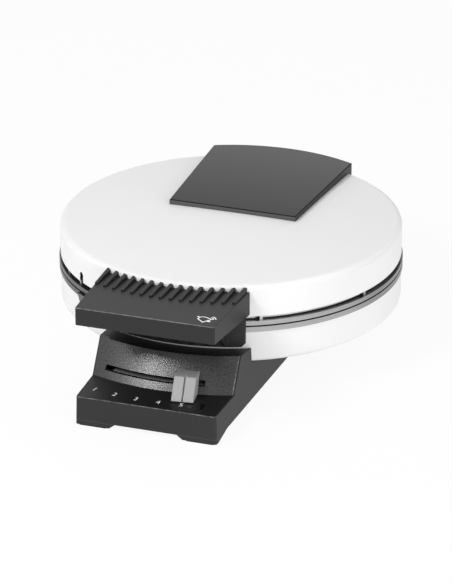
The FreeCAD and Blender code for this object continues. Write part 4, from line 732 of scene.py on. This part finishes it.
class FinishBase(bpy.types.Operator):
    """Finish the base housing, its bottom, its pads, its cord inlet and the slider's panel"""
    bl_idname = "cone_maker.finish_base"
    bl_label = "Base"

    def execute(self, context):
        colours = context.scene.cone_maker_colours
        dress(make_base_plastic(colours.black_plastic, colours.shelf_shade_black), "base_housing", "base_bottom")
        dress(make_black_plastic(colours.black_plastic), "cord_inlet", "buzzer")
        dress(make_panel_paint(colours.panel, *panel_right_edge()), "control_panel")
        dress(make_rubber(), "foot_pads", "lid_lead_lower", "lid_lead_upper")
        return {"FINISHED"}


class FinishHandle(bpy.types.Operator):
    """Finish the ribbed handle and the rear cover"""
    bl_idname = "cone_maker.finish_handle"
    bl_label = "Handle and rear cover"

    def execute(self, context):
        colours = context.scene.cone_maker_colours
        dress(make_handle_plastic(colours.black_plastic), "handle")
        dress(make_cover_plastic(colours.black_plastic), "rear_cover")
        return {"FINISHED"}


class FinishSlider(bpy.types.Operator):
    """Finish the browning slider's knob and rail"""
    bl_idname = "cone_maker.finish_slider"
    bl_label = "Browning slider"

    def execute(self, context):
        colours = context.scene.cone_maker_colours
        dress(make_grey_plastic("knob_plastic", colours.knob), "selector_knob")
        dress(make_grey_plastic("rail_plastic", colours.rail), "lever_rail")
        return {"FINISHED"}


class FinishSteel(bpy.types.Operator):
    """Finish the plated steel pieces: screws, clips, hinge, lever and heat shields"""
    bl_idname = "cone_maker.finish_steel"
    bl_label = "Plated steel"

    def execute(self, context):
        colours = context.scene.cone_maker_colours
        dress(make_zinc(colours.zinc), "bottom_screws", "lower_plate_screws", "upper_plate_screws",
              "handle_screws", "cover_screws", "bracket_screws", "hinge_pins", "hinge_pin_clips",
              "lid_hinge_bracket", "rim_clips", "spindle_clip", "thermostat_spindle", "selector_lever",
              "lower_reflector", "upper_reflector")
        dress(make_bronze(), "hinge_bushes")
        return {"FINISHED"}


class FinishElectrics(bpy.types.Operator):
    """Finish the heaters, the ceramic pieces, the signal board, the lamps and their lenses"""
    bl_idname = "cone_maker.finish_electrics"
    bl_label = "Electrics"

    def execute(self, context):
        dress(make_heater_steel(), "lower_heater", "upper_heater")
        dress(make_ceramic(), "terminal_block", "thermostat", "thermal_fuse", "lid_connector")
        dress(make_board(), "signal_board")
        dress(make_lens("dark_lens", *LENS_TONES), "indicator_lenses")
        dress(make_lens("lamp_lens", *LAMP_TONES), "indicator_lamps")
        return {"FINISHED"}


class PrintNumbers(bpy.types.Operator):
    """Print the browning numbers along the shelf"""
    bl_idname = "cone_maker.print_numbers"
    bl_label = "Browning numbers"

    def execute(self, context):
        marks = context.scene.cone_maker_marks
        material = make_print(context.scene.cone_maker_colours.print_white)
        for i in range(marks.number_count):
            angle = marks.first_number_angle + i * marks.number_step_angle
            x, y = on_drum_plan(marks.number_radius, angle)
            surface = height_under("base_housing", x, y)
            text = bpy.data.curves.new("number_text", "FONT")
            text.body = str(i + 1)
            text.align_x = "CENTER"
            text.align_y = "CENTER"
            text.extrude = marks.print_thickness
            shape = bpy.data.objects.new("number_shape", text)
            mesh = bpy.data.meshes.new_from_object(shape)
            bpy.data.objects.remove(shape)
            height = max(v.co.y for v in mesh.vertices) - min(v.co.y for v in mesh.vertices)
            share = marks.number_height / height
            size = Matrix.Diagonal((share * marks.number_width_share, share, 1.0, 1.0))
            mesh.transform(Matrix.Translation((x, y, surface)) @ Matrix.Rotation(angle, 4, "Z") @ size)
            new_piece("number_%d" % (i + 1), mesh, material, "base")
        return {"FINISHED"}


class PrintBell(bpy.types.Operator):
    """Print a plain ringing bell at the handle's front right corner"""
    bl_idname = "cone_maker.print_bell"
    bl_label = "Bell mark"

    def execute(self, context):
        marks = context.scene.cone_maker_marks
        centre = Vector((marks.bell_x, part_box("handle")[0].y + marks.bell_from_front))
        turn = Matrix.Rotation(marks.bell_tilt, 2)
        unit = marks.bell_size / 10.0

        def laid(points):
            return [tuple(centre + turn @ (Vector(p) * unit)) for p in points]

        def drop(x, y):
            return height_under("handle", x, y)

        body = [*BELL_SIDE, BELL_TOP, *[(-x, y) for x, y in reversed(BELL_SIDE)]]
        thickness = marks.print_thickness
        mesh = bmesh.new()
        add_line(mesh, laid(body), marks.line_width, True, drop, thickness)
        for middle, radius in BELL_DOTS:
            add_dot(mesh, laid([middle])[0], radius * unit, drop, thickness)
        for reach in BELL_WAVE_REACHES:
            wave = arc_points(BELL_WAVE_CENTRE, reach, *BELL_WAVE_ANGLES, BELL_WAVE_POINTS)
            add_line(mesh, laid(wave), marks.line_width * BELL_WAVE_WIDTH_SHARE, False, drop, thickness)
        material = make_print(context.scene.cone_maker_colours.print_white)
        new_piece("bell_mark", finished_mesh("bell_mark", mesh), material, "lid")
        return {"FINISHED"}


class SetStage(bpy.types.Operator):
    """Set the camera, the floor, the sky and the lamps"""
    bl_idname = "cone_maker.set_stage"
    bl_label = "Stage"

    def execute(self, context):
        stage = context.scene.cone_maker_stage
        target = Vector((0.0, DRUM_AXIS_Y, stage.target_height))
        self.set_camera(context.scene, stage, target)
        self.set_floor(stage)
        self.set_sky(context.scene, stage)
        self.set_lamp("key_lamp", target, stage.key_place, stage.key_size, stage.key_power)
        self.set_lamp("fill_lamp", target, stage.fill_place, stage.fill_size, stage.fill_power)
        context.scene.view_settings.view_transform = "Standard"
        return {"FINISHED"}

    def set_camera(self, scene, stage, target):
        level = math.cos(stage.elevation)
        back = Vector((math.sin(stage.azimuth) * level, -math.cos(stage.azimuth) * level,
                       math.sin(stage.elevation)))
        camera = bpy.data.cameras.new("photo_camera")
        camera.lens = stage.lens
        camera.shift_x = stage.shift_x
        camera.shift_y = stage.shift_y
        camera.clip_start, camera.clip_end = CAMERA_CLIP
        holder = bpy.data.objects.new("photo_camera", camera)
        holder.location = target + back * stage.distance
        holder.rotation_mode = "QUATERNION"
        holder.rotation_quaternion = (-back).to_track_quat("-Z", "Y")
        scene.collection.objects.link(holder)
        scene.camera = holder

    def ray_is(self, nodes, name):
        """1 for light rays of one kind, such as those that leave the camera."""
        path = nodes.add("ShaderNodeLightPath")
        return Value(nodes, path.socket.node.outputs[name])

    def mirrored_rays(self, nodes):
        """1 for light rays that a gloss has mirrored or a clear piece has let through."""
        return self.ray_is(nodes, "Is Glossy Ray") + self.ray_is(nodes, "Is Transmission Ray")

    def set_floor(self, stage):
        half = FLOOR_HALF
        corners = [(-half, -half, 0), (half, -half, 0), (half, half, 0), (-half, half, 0)]
        mesh = bpy.data.meshes.new("floor")
        mesh.from_pydata(corners, [], [(0, 1, 2, 3)])
        floor = bpy.data.objects.new("floor", mesh)
        bpy.context.scene.collection.objects.link(floor)
        material = bpy.data.materials.new("pale_floor")
        material.use_nodes = True
        nodes = Nodes(material.node_tree)
        material.node_tree.nodes.remove(material.node_tree.nodes["Principled BSDF"])
        matt = nodes.add("ShaderNodeBsdfDiffuse", None, {"Color": stage.floor})
        white = nodes.add("ShaderNodeEmission", None, {"Color": (1.0, 1.0, 1.0), "Strength": 1.0})
        seen = self.ray_is(nodes, "Is Camera Ray") + self.mirrored_rays(nodes)
        share = seen * (1.0 - stage.floor_shadow)
        surface = nodes.add("ShaderNodeMixShader", None, {0: share, 1: matt, 2: white})
        output = material.node_tree.nodes["Material Output"]
        nodes.feed(output.inputs["Surface"], surface)
        mesh.materials.append(material)

    def set_sky(self, scene, stage):
        world = bpy.data.worlds.new("studio")
        scene.world = world
        world.use_nodes = True
        nodes = Nodes(world.node_tree)
        world.node_tree.nodes.remove(world.node_tree.nodes["Background"])
        direction = nodes.add("ShaderNodeTexCoord")
        split = nodes.add("ShaderNodeSeparateXYZ", None, {0: direction})
        towards_back = Value(nodes, split.socket.node.outputs[1])
        behind = towards_back * 0.5 + 0.5
        front, back, white = [
            nodes.add("ShaderNodeBackground", None, {"Color": (1.0, 1.0, 1.0), "Strength": strength})
            for strength in (stage.sky_front, stage.sky_back, 1.0)]
        light = nodes.add("ShaderNodeMixShader", None, {0: behind, 1: front, 2: back})
        mirrored = self.mirrored_rays(nodes) * (towards_back * BACKDROP_GAIN)
        backdrop = self.ray_is(nodes, "Is Camera Ray") + mirrored
        seen = nodes.add("ShaderNodeMixShader", None, {0: backdrop, 1: light, 2: white})
        nodes.feed(world.node_tree.nodes["World Output"].inputs["Surface"], seen)

    def set_lamp(self, name, target, offset, size, power):
        lamp = bpy.data.lights.new(name, "AREA")
        lamp.shape = "DISK"
        lamp.size = size
        lamp.energy = power
        holder = bpy.data.objects.new(name, lamp)
        holder.location = target + Vector(offset)
        holder.rotation_mode = "QUATERNION"
        holder.rotation_quaternion = Vector(offset).to_track_quat("Z", "Y")
        bpy.context.scene.collection.objects.link(holder)


class ConeMakerPanel(bpy.types.Panel):
    """Buttons and sizes for the cone maker"""
    bl_idname = "VIEW3D_PT_cone_maker"
    bl_label = "Cone Maker"
    bl_space_type = "VIEW_3D"
    bl_region_type = "UI"
    bl_category = "Cone Maker"

    def draw(self, context):
        for operator in OPERATORS:
            self.layout.operator(operator.bl_idname)
        for group in GROUPS:
            settings = getattr(context.scene, group)
            for name in settings.bl_rna.properties.keys():
                if name not in ("rna_type", "name"):
                    self.layout.prop(settings, name)


OPERATORS = (FinishDrum, FinishBase, FinishHandle, FinishSlider, FinishSteel, FinishElectrics, PrintNumbers,
             PrintBell, SetStage)
GROUPS = {
    "cone_maker_colours": ConeMakerColours,
    "cone_maker_marks": ConeMakerMarks,
    "cone_maker_stage": ConeMakerStage,
}


def register():
    for name, group in GROUPS.items():
        bpy.utils.register_class(group)
        setattr(bpy.types.Scene, name, PointerProperty(type=group))
    for operator in OPERATORS:
        bpy.utils.register_class(operator)
    bpy.utils.register_class(ConeMakerPanel)


def unregister():
    bpy.utils.unregister_class(ConeMakerPanel)
    for operator in reversed(OPERATORS):
        bpy.utils.unregister_class(operator)
    for name, group in GROUPS.items():
        delattr(bpy.types.Scene, name)
        bpy.utils.unregister_class(group)


def main():
    register()
    bpy.ops.cone_maker.finish_drum()
    bpy.ops.cone_maker.finish_base()
    bpy.ops.cone_maker.finish_handle()
    bpy.ops.cone_maker.finish_slider()
    bpy.ops.cone_maker.finish_steel()
    bpy.ops.cone_maker.finish_electrics()
    bpy.ops.cone_maker.print_numbers()
    bpy.ops.cone_maker.print_bell()
    bpy.ops.cone_maker.set_stage()


if __name__ == "__main__":
    main()
